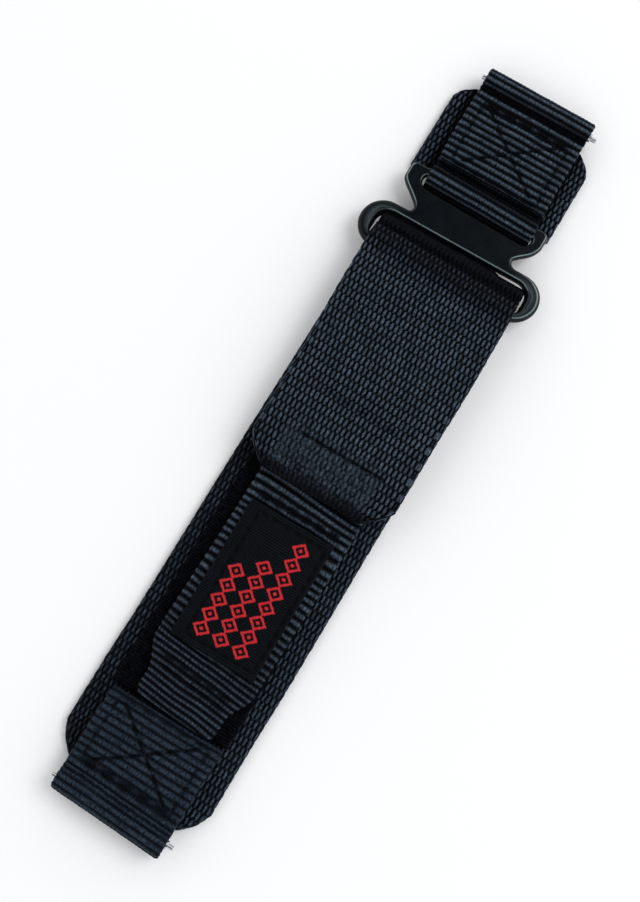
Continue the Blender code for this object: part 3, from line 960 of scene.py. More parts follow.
@dataclass
class LongStrap:
    """The long strap: webbing that folds back over itself, loops and hooks."""

    effects: Effects
    half_width: float = 13.6
    foot: float = 36.97
    fold_radius: float = 0.72
    cut: tuple[float, float] = (3.4, 4.8)
    flap_cut: tuple[float, float] = (4.3, 4.5)
    base_sway: Steps = ((16, 12, 0.2), (50, 45, 0.28))
    flap_sway: Steps = ((9.5, 7, 0.15), (17, 14, 0.22))
    loop_ply: float = 0.4
    loop_shift: float = -0.3
    loop_root: float = 0.22
    hook_ply: float = 0.45
    hook_reach: float = 0.17

    def __post_init__(self) -> None:
        """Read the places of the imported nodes, and lay the webbing's path round the bar."""
        base, self.flap = Box.of("base_webbing"), Box.of("flap_webbing")
        self.ply = self.flap.ply
        low, top, middle = base.low[1], self.flap.high[2], self.ply / 2
        bend = base.high[1] - top / 2
        self.split = bend - low
        nose = arc_points((self.foot, 2.25), self.fold_radius, -70, 90)
        run = [(low, middle), (34.3, 0.62), (35.8, 1.0), *nose, (36.15, 2.93), (35.45, 2.98),
               (34.97, 3.42), (34.45, 4.05), (33.6, 4.6), (bend, top - middle),
               (self.flap.low[1], top - middle)]
        self.path = StripPath.through(run, 0.3)
        self.weave = BasketWeave()

    def sway(self, t: Array) -> Array:
        """Slight wander of the webbing to either side."""
        return stepped(t - self.split, stepped(t, -0.13, self.base_sway), self.flap_sway)

    def base_tuck(self, x: Array, y: Array) -> Array:
        """How far the base's cut end is drawn in, most on its left."""
        return (0.046 * x - 0.55) * ramp(y, -56, -4)

    def base_shade(self, x: Array, y: Array) -> Array:
        """Painted shade on the base, which lies deeper than the flap: darker below the flap's end, most
        on its left.
        """
        return 1 - (0.13 + 0.2 * ease(0.5 - x / 12)) * ramp(y, 4, -8)

    def base_webbing(self) -> None:
        """Base of the strap, from its lug end to the buckle."""
        weave = replace(self.weave, column=0.79, row=1.49, per_column=4)
        strip = Strip("base_weave", self.path, self.ply, self.half_width, weave, end=self.split,
                      narrow=cut_corner(0.0, 1, *self.cut), sway=self.sway, sealed=(True, False),
                      along_step=0.305, shade=self.base_shade, tuck=self.base_tuck)
        dress(strip.build(), BASE_WEBBING.material(self.effects), Slot.WEBBING, Body.LONG_STRAP,
              "base_webbing")

    def flap_narrow(self, t: Array) -> Array:
        """Loss of half width on the fold and flap, which lie a little narrower than the base."""
        corner = cut_corner(self.path.length, -1, *self.flap_cut)
        past = t - self.split
        waist = 0.12 * np.exp(-((past - 6) / 4) ** 2)
        return corner(t) + (0.05 + waist + 0.3 * ramp(past, 22, 14)) * ease(past / 3)

    def flap_press(self, x: Array, y: Array) -> Array:
        """Where the tab's sewing presses the flap's end flat, and the slot the fold."""
        near = ramp(y, 1.5, -3.5) * ramp(y, -9.6, 1.0)
        return np.maximum(near * ramp(np.abs(x), 9.6, -1.6), 1.6 * ramp(y, 36.2, 0.8))

    def fold_shade(self, x: Array, y: Array) -> Array:
        """Painted shade: the fold near black deep inside the buckle's slot and darker beside it, and the
        flap darker towards its end.
        """
        fold = (1 - 0.93 * ramp(y, 34.5, 1.1)) * (1 - 0.42 * ramp(y, 28.6, 4.4))
        return fold * (1 - 0.1 * ramp(y, 1, -3) - 0.42 * ramp(y, -6.8, -1.4))

    def fold_tuck(self, x: Array, y: Array) -> Array:
        """How far the fold draws back in the slot: on its left, and again at its right end."""
        end = 0.32 * ramp(x, 7.6, 1.2) - 0.08
        return end * ramp(y, 36.2, 1.2) - 0.02 * x * ramp(y, 35, 1.2)

    def flap_seams(self) -> tuple[Seam, ...]:
        """Rows of stitches across the flap's end: a tight one between two slack ones."""
        return (Seam((((-6.2, -1.35), (9.0, -1.2)),), pitch=2.2, gap=0.2, reach=0.26, weight=0.9),
                Seam((((-5.0, -6.75), (7.2, -7.2)), ((-6.5, 6.45), (7.0, 6.2))),
                     pitch=2.5, gap=0.9, reach=0.3, weight=0.55))

    def thread_level(self, x: float, y: float) -> float:
        """Height of the flap's thread, which sinks between the floats in the slack rows."""
        return self.flap.high[2] - (0.2 if abs(y + 1.3) < 0.6 else 0.3)

    def flap_webbing(self) -> None:
        """Fold round the buckle's near bar, and the flap that peels off, with its thread."""
        strip = Strip("flap_weave", self.path, self.ply, self.half_width, self.weave,
                      start=self.split, narrow=self.flap_narrow, sway=self.sway,
                      sealed=(False, True), droop=(0.6, 3.4), seams=self.flap_seams(),
                      seam_depth=0.26, press=self.flap_press, shade=self.fold_shade,
                      tuck=self.fold_tuck,
                      phase=lambda t: 0.09 * np.clip(t - self.split - 7.5, 0, 17))
        flap = strip.build()
        dress(flap, WEBBING.material(self.effects), Slot.WEBBING, None, "flap_webbing")
        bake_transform(flap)
        sew(self.effects, "flap_stitching", self.flap_seams(), self.thread_level, radius=0.09,
            shift=0.7, slot=Slot.WEBBING, body=Body.FLAP)

    def loop_pattern(self) -> Piece:
        """One brushed loop of a thin filament."""
        s, a = wire_grid(7, 4)
        turn, wire = math.pi * (1.25 * s - 0.125), 0.055
        return lay_grid("loop", np.stack([
            -(0.24 + wire * np.cos(a)) * np.cos(turn), wire * np.sin(a) + 0 * s,
            (0.38 + wire * np.cos(a)) * np.sin(turn) + self.loop_root], -1))

    def loop_field(self) -> None:
        """Knitted ground of the loop tape and its brushed loops."""
        box = Box.of("loop_field")
        low = box.low[1] + 0.85
        path = StripPath.level(low, box.high[1], box.low[2] + self.loop_ply / 2)
        ground = Strip("loop_ground", path, self.loop_ply, 10.55,
                       RibWeave(pitch=0.5, depth=0.08, wander=0.05, seed=31, bead=1.2),
                       along_step=0.16, shift=self.loop_shift)
        dress(ground.build(), LOOPS.material(self.effects), Slot.LOOPS, Body.LONG_STRAP, "loop_field")
        rng = np.random.default_rng(41)
        places = []
        for row, y in enumerate(np.arange(low + 0.4, box.high[1] - 0.3, 0.74)):
            for x in np.arange(-10.2, 10.3, 0.66) + 0.33 * (row % 2):
                if abs(x) > 10.35:
                    continue
                turn, lean, roll = rng.uniform(0, math.tau), rng.normal(0, 0.35), rng.normal(0, 0.35)
                size = rng.uniform(0.8, 1.2)
                jitter = rng.normal(0, 0.12, 2)
                c, s = math.cos(turn), math.sin(turn)
                spin = np.array([[c, -s, 0], [s, c, 0], [0, 0, 1]])
                axes = np.array([[1, 0, lean], [0, 1, roll], [0, 0, 1]]) @ spin * size
                axes[2, 2] = min(size, 1.0)
                places.append(placed(axes, (x + self.loop_shift + jitter[0], y + jitter[1],
                                            box.low[2] + self.loop_root)))
        loops = copies("loop_pile", self.loop_pattern(), places)
        dress(loops, LOOPS.material(self.effects), Slot.LOOPS, Body.LONG_STRAP)

    def hook_pattern(self) -> Piece:
        """One hook: a stem that hangs down and curls over, thinner towards its tip."""
        s, a = wire_grid(7, 5)
        turn = math.pi * 1.15 * np.clip((s - 0.4) / 0.6, 0, 1)
        wire = 0.07 * (1 - 0.35 * s)
        stem = np.clip(s / 0.4, 0, 1) * 0.3
        out = self.hook_reach + wire * np.cos(a)
        return lay_grid("hook", np.stack([self.hook_reach - out * np.cos(turn),
                                          wire * np.sin(a) + 0 * s, -stem - out * np.sin(turn)], -1))

    def hook_patch(self) -> None:
        """Hook tape under the flap, whose hooks face either way in turn."""
        box = Box.of("hook_patch")
        path = StripPath.level(box.low[1], box.high[1], box.high[2] - self.hook_ply / 2)
        tape = Strip("hook_ground", path, self.hook_ply, 10.5,
                     RibWeave(pitch=0.8, depth=0.06, wander=0.03, seed=37, bead=2.0), along_step=0.2)
        dress(tape.build(), HOOKS.material(self.effects), Slot.HOOKS, Body.FLAP, "hook_patch")
        rows = np.arange(box.low[1] + 0.7, box.high[1] - 0.5, 0.95)
        places = [placed(np.diag((-1, -1, 1) if (row + column) % 2 else (1, 1, 1)),
                         (x, y, box.high[2] - self.hook_ply))
                  for row, y in enumerate(rows) for column, x in enumerate(np.arange(-9.9, 9.95, 0.9))]
        hooks = copies("hook_rows", self.hook_pattern(), places)
        dress(hooks, HOOKS.material(self.effects), Slot.HOOKS, Body.FLAP)

    def build(self) -> None:
        """Build every piece of the long strap."""
        self.base_webbing()
        self.flap_webbing()
        self.loop_field()
        self.hook_patch()


def box_seam(half: float, near: float, far: float, firm: float, cross: tuple[float, float],
             inset: float = 1.2) -> tuple[Seam, ...]:
    """Seams of a box with a cross in it.

    Args:
        half: Half of the box's width.
        near: Y of its end at the strap.
        far: Y of its end at the spring bar, which is sewn tightest.
        firm: How tightly its other sides are sewn.
        cross: Gap between the cross's stitches, and how tightly they are sewn.
        inset: How far the cross stays off the box's long sides.

    Returns:
        The tight end, the other sides and the cross.
    """
    slope = math.copysign(0.5, far - near)
    arm = half - inset
    sides = (((-half, near), (half, near)), ((half, near), (half, far)), ((-half, far), (-half, near)))
    arms = (((-arm, near + slope), (arm, far - slope)), ((arm, near + slope), (-arm, far - slope)))
    return (Seam((((-half, far), (half, far)),), pitch=3.2, gap=1.0, reach=0.85, weight=1.25),
            Seam(sides, pitch=3.1, gap=0.8, reach=0.34, weight=firm),
            Seam(arms, pitch=2.9, gap=cross[0], reach=0.32, weight=cross[1]))


@dataclass
class LugBand:
    """Grosgrain band folded into two plies, sewn to a strap and looped round a spring bar."""

    effects: Effects
    name: str
    node: str
    bar: str
    body: Body
    side: int
    panel_y: float
    seams: tuple[Seam, ...]
    roll: Point | None = None
    lean: float = 0.0
    valley_shade: float = 0.75
    wrap: float = 22.0
    slant: tuple[float, float, float] = (0.0, 57.0, 7.0)
    finish: FabricFinish = GROSGRAIN
    weave: RibWeave = RibWeave()
    ply: float = 0.88
    half_width: float = 10.0
    top_z: float = 2.86
    low_z: float = 1.94
    bar_z: float = 2.4
    loop_radius: float = 1.66
    roll_radius: float = 1.71
    roll_swell: float = 0.72

    def __post_init__(self) -> None:
        """Read the place of the spring bar."""
        self.pin_y = Box.of(self.bar).middle[1]

    def path(self) -> StripPath:
        """Path of the band: top ply, loop round the spring bar, lower ply, and any roll."""
        pin_y, s = self.pin_y, self.side
        run = [(self.panel_y, self.top_z), (pin_y - s * 2.25, self.top_z - 0.02)]
        if self.roll:
            run += [(pin_y - s * 1.95, self.top_z - 0.1)]
        for a in np.radians(np.linspace(self.wrap, 338, 40)):
            run.append((pin_y - s * math.cos(a) * self.loop_radius,
                        self.bar_z + math.sin(a) * self.loop_radius))
        run += [(pin_y - s * 2.1, self.low_z), (pin_y - s * 2.6, self.low_z)]
        if self.roll is None:
            return StripPath.through(run + [(self.panel_y, self.low_z)], 0.16)
        y, z = self.roll
        run += [(y + 2.2, self.low_z - 0.02)]
        for a in np.radians(np.linspace(-38, -318, 44)):
            out = self.roll_radius + self.roll_swell * math.exp(-((a + 2.75) / 0.55) ** 2)
            run.append((y + out * math.cos(a), z + out * math.sin(a)))
        return StripPath.through(run, 0.16)

    def shade(self, x: Array, y: Array) -> Array:
        """Painted shade on the band: darker in its valleys by the lug loop and by the roll, and on the
        roll's near side in its slot.
        """
        far = self.side * y
        valley_shade = np.exp(-((far - 64.95) / 0.52) ** 4) + np.exp(-((far - 49.2) / 1.4) ** 4)
        return 1 - self.valley_shade * np.clip(valley_shade + ramp(far, 45.45, -0.4), 0, 1)

    def build(self) -> None:
        """Build the band and its thread."""
        path = self.path()
        wound, loop = path.length - 9.4, abs(self.pin_y - self.panel_y) - 2.2
        gain, start, reach = self.slant
        strip = Strip(self.name, path, self.ply, self.half_width, self.weave, seams=self.seams,
                      seam_depth=0.26, along_step=0.146, swell=0.04, shade=self.shade,
                      sway=lambda t: self.lean * (ramp(np.abs(path.at(t)[0][..., 0]), 48, 8) - 0.25),
                      tuck=lambda x, y: gain * x * ramp(self.side * y, start, reach),
                      phase=lambda t: (0.28 * np.clip(t - loop, 0, 10.5)
                                       + 0.3 * np.clip(t - wound, 0, None) * bool(self.roll)))
        dress(strip.build(), self.finish.material(self.effects), Slot.GROSGRAIN, self.body, self.node)
        sew(self.effects, f"{self.name}_stitching", self.seams, lambda x, y: 3.3 - 0.27, radius=0.12,
            shift=self.lean, slot=Slot.GROSGRAIN, body=self.body)


@dataclass
class ShortStrap:
    """The short strap: a webbing pad under its lug band, with a lobe on each side of the buckle."""

    effects: Effects
    cut: tuple[float, float] = (2.9, 3.1)
    half_width: float = 13.27
    lobe_end: float = 47.6
    lobe_inside: float = 10.9
    shift: float = -0.45

    def shade(self, x: Array, y: Array) -> Array:
        """Painted shade on the pad: darker beside the band that is sewn on it, most on the left."""
        # Painted shade: the left half darker overall, and both sides darker next to the band.
        tone, beside = np.where(x < 0, 0.88, 1.0), np.where(x < 0, 11.9, 10.9)
        return tone * (1 - 0.6 * ramp(np.abs(x), beside, -1.2))

    def build(self) -> None:
        """Build the pad."""
        box = Box.of("short_pad")
        path = StripPath.level(self.lobe_end, box.high[1], box.middle[2])
        depth = box.low[1] - self.lobe_end
        strip = Strip("pad_weave", path, box.ply, self.half_width, BasketWeave(seed=19, row=1.34),
                      along_step=0.22, shift=self.shift, shade=self.shade,
                      tuck=lambda x, y: 0.04 * x * ramp(y, 56, 5),
                      narrow=cut_corner(path.length, -1, *self.cut),
                      notch=lambda x: depth * ramp(np.abs(x), self.lobe_inside, -0.5))
        dress(strip.build(), WEBBING.material(self.effects), Slot.WEBBING, Body.SHORT_STRAP, "short_pad")


@dataclass
class PullTab:
    """Grosgrain pull tab with a woven label."""

    effects: Effects
    tip: float = 14.4
    wide: float = 18.6
    taper: float = 9.6
    shoulder: float = 5.8
    corner: float = 1.4
    seam: Seam = Seam((((-6.3, -42.4), (6.3, -42.8)), ((-6.0, -44.1), (6.0, -44.5)),
                       ((-7.4, -12.5), (7.4, -12.5)), ((-7.4, -13.3), (7.4, -13.3))),
                      pitch=2.3, reach=0.4, weight=0.8)
    label_half: float = 7.55
    label_shift: float = 0.85
    label_start: float = 0.8
    border_inset: float = 1.25
    lozenge: tuple[float, float] = (3.5, 2.6)
    lozenge_columns: tuple[tuple[float, int], ...] = ((-3.75, 5), (-0.2, 6), (3.35, 8))
    lozenge_line: float = 0.36
    motif_rise: float = 0.07

    def sway(self, t: Array) -> Array:
        """The tab lies a little towards the right, most at its root."""
        return 0.4 + 0.7 * ease(t / 40)

    def narrow(self, t: Array) -> Array:
        """Loss of half width towards the tab's tip."""
        step = (self.wide - self.tip) / 2 * (1 - ease((t - self.taper + self.shoulder) / self.shoulder))
        inside = np.clip(self.corner - t, 0, self.corner)
        return step + self.corner - np.sqrt(self.corner ** 2 - inside ** 2)

    def under_label(self, x: Array, y: Array) -> Array:
        """Where the label presses the ribs flat."""
        return 0.6 * ramp(np.abs(x), 7.5, -0.6) * ramp(y, -14.4, -0.6) * ramp(y, -39.6, 0.6)

    def band(self) -> None:
        """Tab from under the flap to its tip, as one piece."""
        band, root = Box.of("tab_band"), Box.of("tab_root")
        z = band.middle[2]
        path = StripPath.level(band.low[1] + 0.65, root.high[1], z)
        weave = RibWeave(pitch=1.3, depth=0.36, wander=0.34, seed=53, tilt=0.45)
        strip = Strip("tab_weave", path, band.ply, self.wide / 2, weave, narrow=self.narrow,
                      sway=self.sway, along_step=0.163, seams=(self.seam,), seam_depth=0.2,
                      # Painted shade: the tab darker towards its tip.
                      press=self.under_label, shade=lambda x, y: 1 - 0.24 * ramp(y, -22, -20),
                      tuck=lambda x, y: 0.055 * x * ramp(y, -12.5, -8),
                      phase=lambda t: 0.32 * np.clip(t, 0, 13))
        tab = strip.build()
        dress(tab, GROSGRAIN.material(self.effects), Slot.GROSGRAIN, None, "tab_root", "tab_band")
        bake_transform(tab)

    def motif(self, x: Array, y: Array) -> Array:
        """Red lattice of open lozenges woven into the label.

        Args:
            x: Places across the label from its middle.
            y: Places along it from its low end.

        Returns:
            1 in the red yarn and 0 elsewhere.
        """
        wide, long = self.lozenge
        red = np.zeros(np.broadcast(x, y).shape)
        v = (y - 2.6) / long
        for middle, count in self.lozenge_columns:
            inside = (v >= 0) & (v < count) & (np.abs(x - middle) < wide / 2)
            away = np.abs(x - middle) / (wide / 2 - 0.25) + np.abs((v % 1) - 0.5) * 2
            ring, dot = np.abs(away - 0.86) < self.lozenge_line * 0.52, away < 0.26
            red = np.maximum(red, (inside & (ring | dot)).astype(float))
        return red

    def label(self) -> None:
        """Woven label with a stitched border and its motif."""
        box = Box.of("label_patch")
        z, start = box.middle[2], box.low[1] + self.label_start
        left, right = -self.label_half + 2.0, self.label_half - 0.9
        low, high = start + self.border_inset, box.high[1] - self.border_inset
        corners = ((left, low), (right, low), (right, high), (left, high))
        border = Seam(tuple(zip(corners, corners[1:] + corners[:1])), pitch=2.0, gap=0.6, reach=0.35)
        strip = Strip("label_weave", StripPath.level(start, box.high[1], z), box.ply, self.label_half,
                      RibWeave(pitch=0.42, depth=0.05, wander=0.02, seed=61, bead=0.48),
                      along_step=0.12, seams=(border,), seam_depth=0.16, shift=self.label_shift,
                      swell=0.03)
        points, crown, surface = strip.mesh_points()
        red = self.motif(points[:, :, 0] - self.label_shift, points[:, :, 1] - box.low[1])
        red = red * (points[:, :, 2] > z)
        points[:, :, 2] += self.motif_rise * red
        label = lay_grid(strip.name, points, {Mark.CROWN: crown, Mark.MOTIF: red}, surface)
        dress(label, LABEL.material(self.effects), Slot.LABEL, Body.PULL_TAB, "label_patch")
        sew(self.effects, "label_stitching", (border,), lambda x, y: box.high[2] - 0.13, radius=0.11,
            shift=self.label_shift, slot=Slot.LABEL, body=Body.PULL_TAB)

    def build(self) -> None:
        """Build the tab and its label."""
        self.band()
        self.label()


@dataclass
class Buckle:
    """One-piece black buckle: near bar, round-ended ring, waisted plate and far bar."""

    effects: Effects
    bar_half: float = 0.85
    ring_far: float = 40.1
    neck: float = 0.9
    waist_half: float = 9.25
    frame_half: float = 12.9
    flare_end: float = 45.4
    slope: float = 0.022
    corner: float = 1.2
    round_over: float = 0.55
    ring_round_over: float = 0.32
    # Where round the rounding the painted highlight line lies, and how wide it is, in degrees.
    rim_turn: float = 70.0
    rim_width: float = 7.0
    spacing: float = 0.16
    levels: int = 18
    overlap: float = 1.06
    smooth_turn: float = 40.0

    def __post_init__(self) -> None:
        """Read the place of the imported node."""
        self.box = Box.of("buckle_frame")

    def mirrored(self, half: list[Point]) -> Array:
        """Whole outline from its right half, as points at an even spacing."""
        run = np.array(half + [(-x, y) for x, y in reversed(half)] + half[:1])
        reach = run_lengths(run)
        places = np.linspace(0, reach[-1], round(reach[-1] / self.spacing) + 1)[:-1]
        line = on_line(places, reach, run)
        return (np.roll(line, 1, 0) + 2 * line + np.roll(line, -1, 0)) / 4

    def settle(self, line: Array) -> Array:
        """Outline as it lies: its ring a little to the right, its right side a little further up."""
        x, y = line[:, 0], line[:, 1]
        aside = x + 0.3 * (1 - ramp(y, 39.6, 1.8)) - 0.45 * ramp(y, 42.5, 2.5)
        return np.c_[aside, y + self.slope * x]

    def outline(self) -> Array:
        """Outer outline, with the metal on its left."""
        low, high = self.box.low[1], self.box.high[1]
        radius = (self.ring_far - low) / 2
        flare_low = self.ring_far + self.neck
        half = arc_points((self.box.high[0] + 0.12 - radius, low + radius), radius, -90, 90, 3)
        half += arc_points((self.waist_half + self.neck, flare_low), self.neck, 270, 180, 6)
        for share in np.linspace(0, 1, 30)[1:]:
            wide = float(ease(np.array(share ** 0.8)))
            half.append((self.waist_half + (self.frame_half - self.waist_half) * wide,
                         flare_low + (self.flare_end - flare_low) * share))
        half += arc_points((self.frame_half - self.corner, high - self.corner), self.corner, 0, 90, 6)
        return self.mirrored(half)

    def slot(self, half_width: float, low: float, high: float, radii: tuple[float, float]) -> Array:
        """Outline of a slot, with the metal on its left.

        Args:
            half_width: Half of the slot's width.
            low: Its low edge.
            high: Its high edge.
            radii: Radius of its low corners and of its high corners.

        Returns:
            Points by X and Y.
        """
        half = arc_points((half_width - radii[0], low + radii[0]), radii[0], -90, 0, 6)
        half += arc_points((half_width - radii[1], high - radii[1]), radii[1], 0, 90, 6)
        return self.mirrored(half)[::-1]

    def wall(self, name: str, loop: Array, reach: Array, wear_and_highlight: Array, top_highlight: float,
             belly: float) -> Piece:
        """Rounded wall of the plate along an outline.

        Args:
            name: Name of the wall.
            loop: The outline at half thickness, with the metal on its left.
            reach: How far the rounding goes into the metal, at each point.
            wear_and_highlight: Strength of the painted highlight along the edge, at each point.
            top_highlight: Strength of the painted highlight on the ring's top beside the wall.
            belly: Height of the widest metal over the plate's underside.

        Returns:
            The wall, open at the top and bottom.
        """
        along = np.roll(loop, -1, 0) - np.roll(loop, 1, 0)
        along /= np.linalg.norm(along, axis=1)[:, None]
        inward = np.c_[-along[:, 1], along[:, 0]]
        turn = np.radians(np.linspace(-90, 90, self.levels + 1))
        depth = np.r_[self.overlap, 1 - np.cos(turn), self.overlap][:, None] * reach[None, :]
        middle = self.box.low[2] + belly
        rise = np.r_[-1, np.sin(turn), 1][:, None]
        rise = rise * np.where(rise < 0, belly, self.box.high[2] - middle)
        points = np.stack([loop[:, 0] + inward[:, 0] * depth, loop[:, 1] + inward[:, 1] * depth,
                           middle + rise + 0 * depth], -1)
        points = np.concatenate([points, points[:, :1]], 1)
        # Painted highlight: a line round the rounding near rim_turn, and a band on the ring's top rows.
        edge = np.exp(-((turn - math.radians(self.rim_turn)) / math.radians(self.rim_width)) ** 2)
        ring = ramp(np.abs(points[:, :, 0]), 10, 5) * ramp(points[:, :, 1], 40.6, -0.5) * top_highlight
        rim = np.r_[0, edge, 0][:, None] * np.r_[wear_and_highlight, wear_and_highlight[:1]][None, :]
        rim = np.maximum(rim, ring * (np.arange(len(points)) >= len(points) - 2)[:, None])
        return lay_grid(name, points, {Mark.RIM: rim}, closed=False)

    def close_face(self, plate: Piece, height: float) -> None:
        """Close one face of the plate between its walls.

        Args:
            plate: The joined walls.
            height: Height of the face.
        """
        mesh = plate.data
        sides = np.empty(len(mesh.loops), np.int32)
        mesh.loops.foreach_get("edge_index", sides)
        ends = np.empty(len(mesh.edges) * 2, np.int32)
        mesh.edges.foreach_get("vertices", ends)
        places = np.empty(len(mesh.vertices) * 3, np.float32)
        mesh.vertices.foreach_get("co", places)
        near = np.abs(places[2::3] - height * MM) < 0.01 * MM
        open_edges = np.bincount(sides, minlength=len(mesh.edges)) == 1
        bpy.ops.object.mode_set(mode="EDIT")
        bpy.ops.mesh.select_mode(type="EDGE")
        bpy.ops.mesh.select_all(action="DESELECT")
        bpy.ops.object.mode_set(mode="OBJECT")
        mesh.edges.foreach_set("select", open_edges & near[ends.reshape(-1, 2)].all(1))
        bpy.ops.object.mode_set(mode="EDIT")
        bpy.ops.mesh.fill(use_beauty=True)
        bpy.ops.object.mode_set(mode="OBJECT")

    def walls(self) -> list[Piece]:
        """Outer wall of the plate, and the walls of its two slots."""
        near, far = self.box.low[1] + 2 * self.bar_half, self.box.high[1] - 2 * self.bar_half
        outer = self.settle(self.outline())
        fold = self.settle(self.slot(13.9, near, 38.45, (1.0, 2.4)))
        roll = self.slot(10.28, 44.28, far, (1.3, 0.6))
        (x, y), fold_y, roll_y = outer.T, fold[:, 1], roll[:, 1]
        ring = ramp(np.abs(x), 10, 3) * ramp(y, 40.6, -0.8)
        far_edge = y - self.slope * x - self.box.high[1]
        # Painted highlight along the outer rim: stronger past the ring and on the right side, faint at
        # the far edge.
        painted_highlight = np.maximum(ramp(y, 40.6, 1.2), 0.8 * ramp(x, 11, 3))
        painted_highlight = painted_highlight * (1 - 0.85 * ramp(far_edge, -0.5, 0.35))
        fold_reach = 0.5 + 0.5 * ease((fold_y - near - 0.2) / 1.6) - 0.5 * ramp(fold_y, 37, 1.4)
        # Each slot wall gets a painted highlight along its far edge, and each wall one on the ring's top
        # beside it.
        return [self.wall("buckle_plate", outer, self.round_over + self.ring_round_over * ring, painted_highlight,
                          top_highlight=0.03, belly=0.75),
                self.wall("fold_slot_wall", fold, fold_reach, 0.1 + 0.9 * ramp(fold_y, 37.6, 0.8),
                          top_highlight=0.17, belly=0.05),
                self.wall("roll_slot_wall", roll, 0.3 + 0.25 * ramp(roll_y, 44.4, 1.2),
                          0.6 * ramp(roll_y, 45, 1), top_highlight=0.17, belly=1.2)]

    def build(self) -> None:
        """Build the buckle: its walls joined, and its two faces closed between them."""
        walls = self.walls()
        bpy.ops.object.select_all(action="DESELECT")
        for wall in walls:
            wall.select_set(True)
        plate = bpy.context.view_layer.objects.active = walls[0]
        bpy.ops.object.join()
        mend(merge=True)
        for height in (self.box.low[2], self.box.high[2]):
            self.close_face(plate, height)
        mend()
        bpy.ops.object.shade_smooth_by_angle(angle=math.radians(self.smooth_turn))
        dress(plate, BLACK_STEEL.material(self.effects), Slot.BLACK_STEEL, Body.BUCKLE, "buckle_frame")


@dataclass
class SpringBars:
    """Sprung bars in the lug loops: packed tubes and tips, and coil springs inside."""

    effects: Effects
    wire: float = 0.1
    turns: int = 12
    pressed: float = 0.83

    def half_spring(self, body: Body, label: str, side: int) -> Piece:
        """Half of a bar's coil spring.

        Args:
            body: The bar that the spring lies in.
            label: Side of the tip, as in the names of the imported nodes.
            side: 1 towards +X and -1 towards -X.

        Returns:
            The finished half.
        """
        box = Box.of(f"{body.value}_spring")
        _, y, z = box.middle
        radius, reach = box.ply / 2 - self.wire, box.high[0] - self.wire
        rate = math.pi * self.turns / reach
        x = side * np.linspace(0, reach, 10 * self.turns + 1)[:, None]
        a = np.linspace(0, math.tau, 9)[None, :]
        out = np.stack([0 * x, np.cos(rate * x), np.sin(rate * x)], -1)
        forward = np.stack([1 + 0 * x, -radius * rate * np.sin(rate * x),
                            radius * rate * np.cos(rate * x)], -1)
        aside = np.cross(forward / np.linalg.norm(forward, axis=-1, keepdims=True), out)
        middle = np.stack([x, y + 0 * x, z + 0 * x], -1) + radius * out
        points = middle + self.wire * (np.cos(a)[..., None] * out + np.sin(a)[..., None] * aside)
        return lay_grid(f"{body.value}_{label}_coil", points)

    def build(self) -> None:
        """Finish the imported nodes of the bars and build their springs."""
        bright = BRIGHT_STEEL.material(self.effects)
        for name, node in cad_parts.items():
            if "_bar_" in name:
                coat(node, bright)
        for body in (Body.LOWER_BAR, Body.UPPER_BAR):
            for label, side in (("left", -1), ("right", 1)):
                coil = self.half_spring(body, label, side)
                dress(coil, bright, Slot.BRIGHT_STEEL, body, f"{body.value}_spring")
                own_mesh(coil)


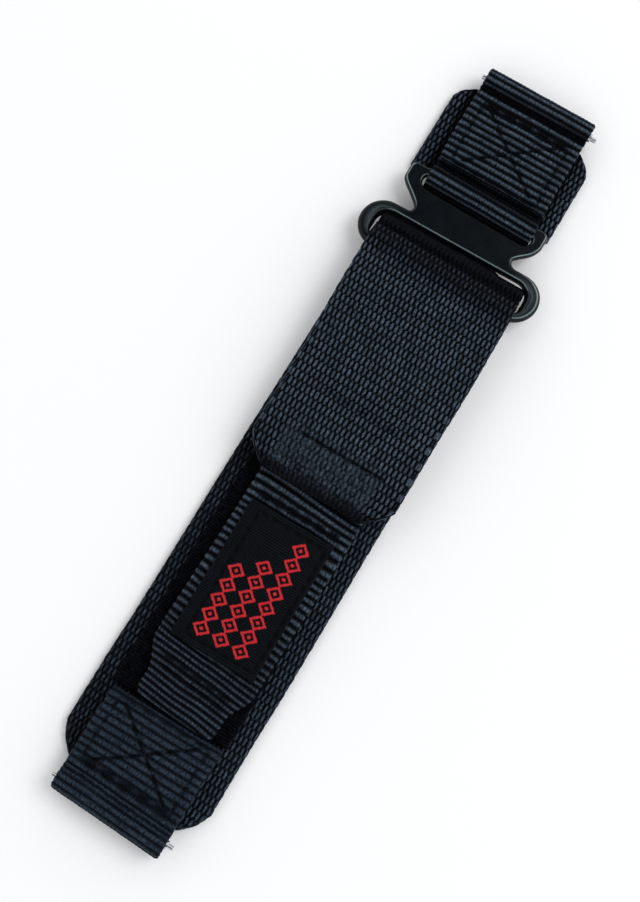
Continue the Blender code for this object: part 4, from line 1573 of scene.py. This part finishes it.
@dataclass
class Studio:
    """Pale floor, soft light and the camera."""

    camera_place: tuple[float, float, float] = (8.07, -28.08, 202.17)
    camera_turn: tuple[float, float, float] = (7.767, -1.488, 31.052)
    lens: float = 50.0
    near_clip: float = 0.01
    floor_size: float = 6.0
    floor_z: float = -0.2
    lamp_place: tuple[float, float, float] = (0.68, 0.72, 1.20)
    lamp_size: float = 0.9
    lamp_watts: float = 9.4
    tent_tint: Colour = (0.97, 0.985, 1.0)
    tent_heights: tuple[float, float] = (0.6, 0.93)
    tent_strengths: tuple[float, float] = (1.25, 0.12)

    def floor(self) -> None:
        """White floor that takes the shadow."""
        bpy.ops.object.select_all(action="DESELECT")
        bpy.ops.mesh.primitive_plane_add(size=self.floor_size, location=(0, 0, self.floor_z * MM))
        obj = bpy.context.active_object
        obj.name = "studio_floor"
        material, n, shader = start_material("pale floor")
        grain = n.noise(n.add("ShaderNodeTexCoord").outputs["Object"], 60.0, 2.0)
        tone = n.mix(grain, (0.945, 0.95, 0.955, 1), (0.955, 0.96, 0.965, 1))
        n.feed(shader, {"Base Color": tone, "Roughness": 0.9})
        obj.data.materials.append(material)

    def lamp(self) -> None:
        """Square soft lamp that points at the strap."""
        bpy.ops.object.light_add(type="AREA", location=self.lamp_place)
        lamp = bpy.context.active_object
        lamp.name = "key_lamp"
        lamp.data.size = self.lamp_size
        lamp.data.energy = self.lamp_watts
        lamp.rotation_euler = (-lamp.location).to_track_quat("-Z", "Y").to_euler()

    def tent(self) -> None:
        """Light tent all round: bright walls, and a dimmer top where the camera looks in."""
        world = bpy.data.worlds.new("light tent")
        bpy.context.scene.world = world
        world.use_nodes = True
        n = Nodes(world.node_tree)
        way = n.add("ShaderNodeSeparateXYZ", {0: n.add("ShaderNodeTexCoord").outputs["Generated"]})
        (low, high), (wall, top) = self.tent_heights, self.tent_strengths
        strength = n.add("ShaderNodeMapRange", {0: way.outputs[2], 1: low, 2: high, 3: wall, 4: top})
        n.feed(world.node_tree.nodes["Background"], {0: (*self.tent_tint, 1), 1: strength.outputs[0]})

    def camera(self) -> None:
        """Camera at the photograph's angle."""
        data = bpy.data.cameras.new("camera")
        data.lens = self.lens
        data.clip_start = self.near_clip
        camera = bpy.data.objects.new("camera", data)
        camera.location = [v * MM for v in self.camera_place]
        camera.rotation_euler = [math.radians(v) for v in self.camera_turn]
        bpy.context.scene.collection.objects.link(camera)
        bpy.context.scene.camera = camera

    def build(self) -> None:
        """Build the floor, the light, the world and the camera."""
        self.floor()
        self.lamp()
        self.tent()
        self.camera()
        bpy.context.scene.view_settings.view_transform = "Standard"


def main() -> None:
    """Build the whole dressed strap."""
    logging.basicConfig(level=logging.INFO, format="%(name)s %(message)s")
    Studio().build()
    effects = Effects()
    LongStrap(effects).build()
    LugBand(effects, "lower_band_weave", "lower_lug_band", "lower_bar_tube", Body.LONG_STRAP, side=-1,
            panel_y=-50.25, seams=box_seam(8.1, -51.2, -62.6, 0.8, (0.5, 1.25)), lean=-0.35,
            valley_shade=0.22, slant=(0.045, 57.0, 7.0), wrap=44.0, finish=SHADED_LOWER_GROSGRAIN,
            weave=RibWeave(thin=0.5, bead_depth=0.14)).build()
    LugBand(effects, "upper_band_weave", "upper_lug_band", "upper_bar_tube", Body.SHORT_STRAP, side=1,
            panel_y=50.602, seams=box_seam(8.0, 51.1, 62.7, 0.75, (0.8, 1.05)), roll=(47.298, 2.7),
            lean=-0.4, slant=(-0.022, 49.0, 3.0)).build()
    ShortStrap(effects).build()
    PullTab(effects).build()
    Buckle(effects).build()
    SpringBars(effects).build()


if __name__ == "__main__":
    main()
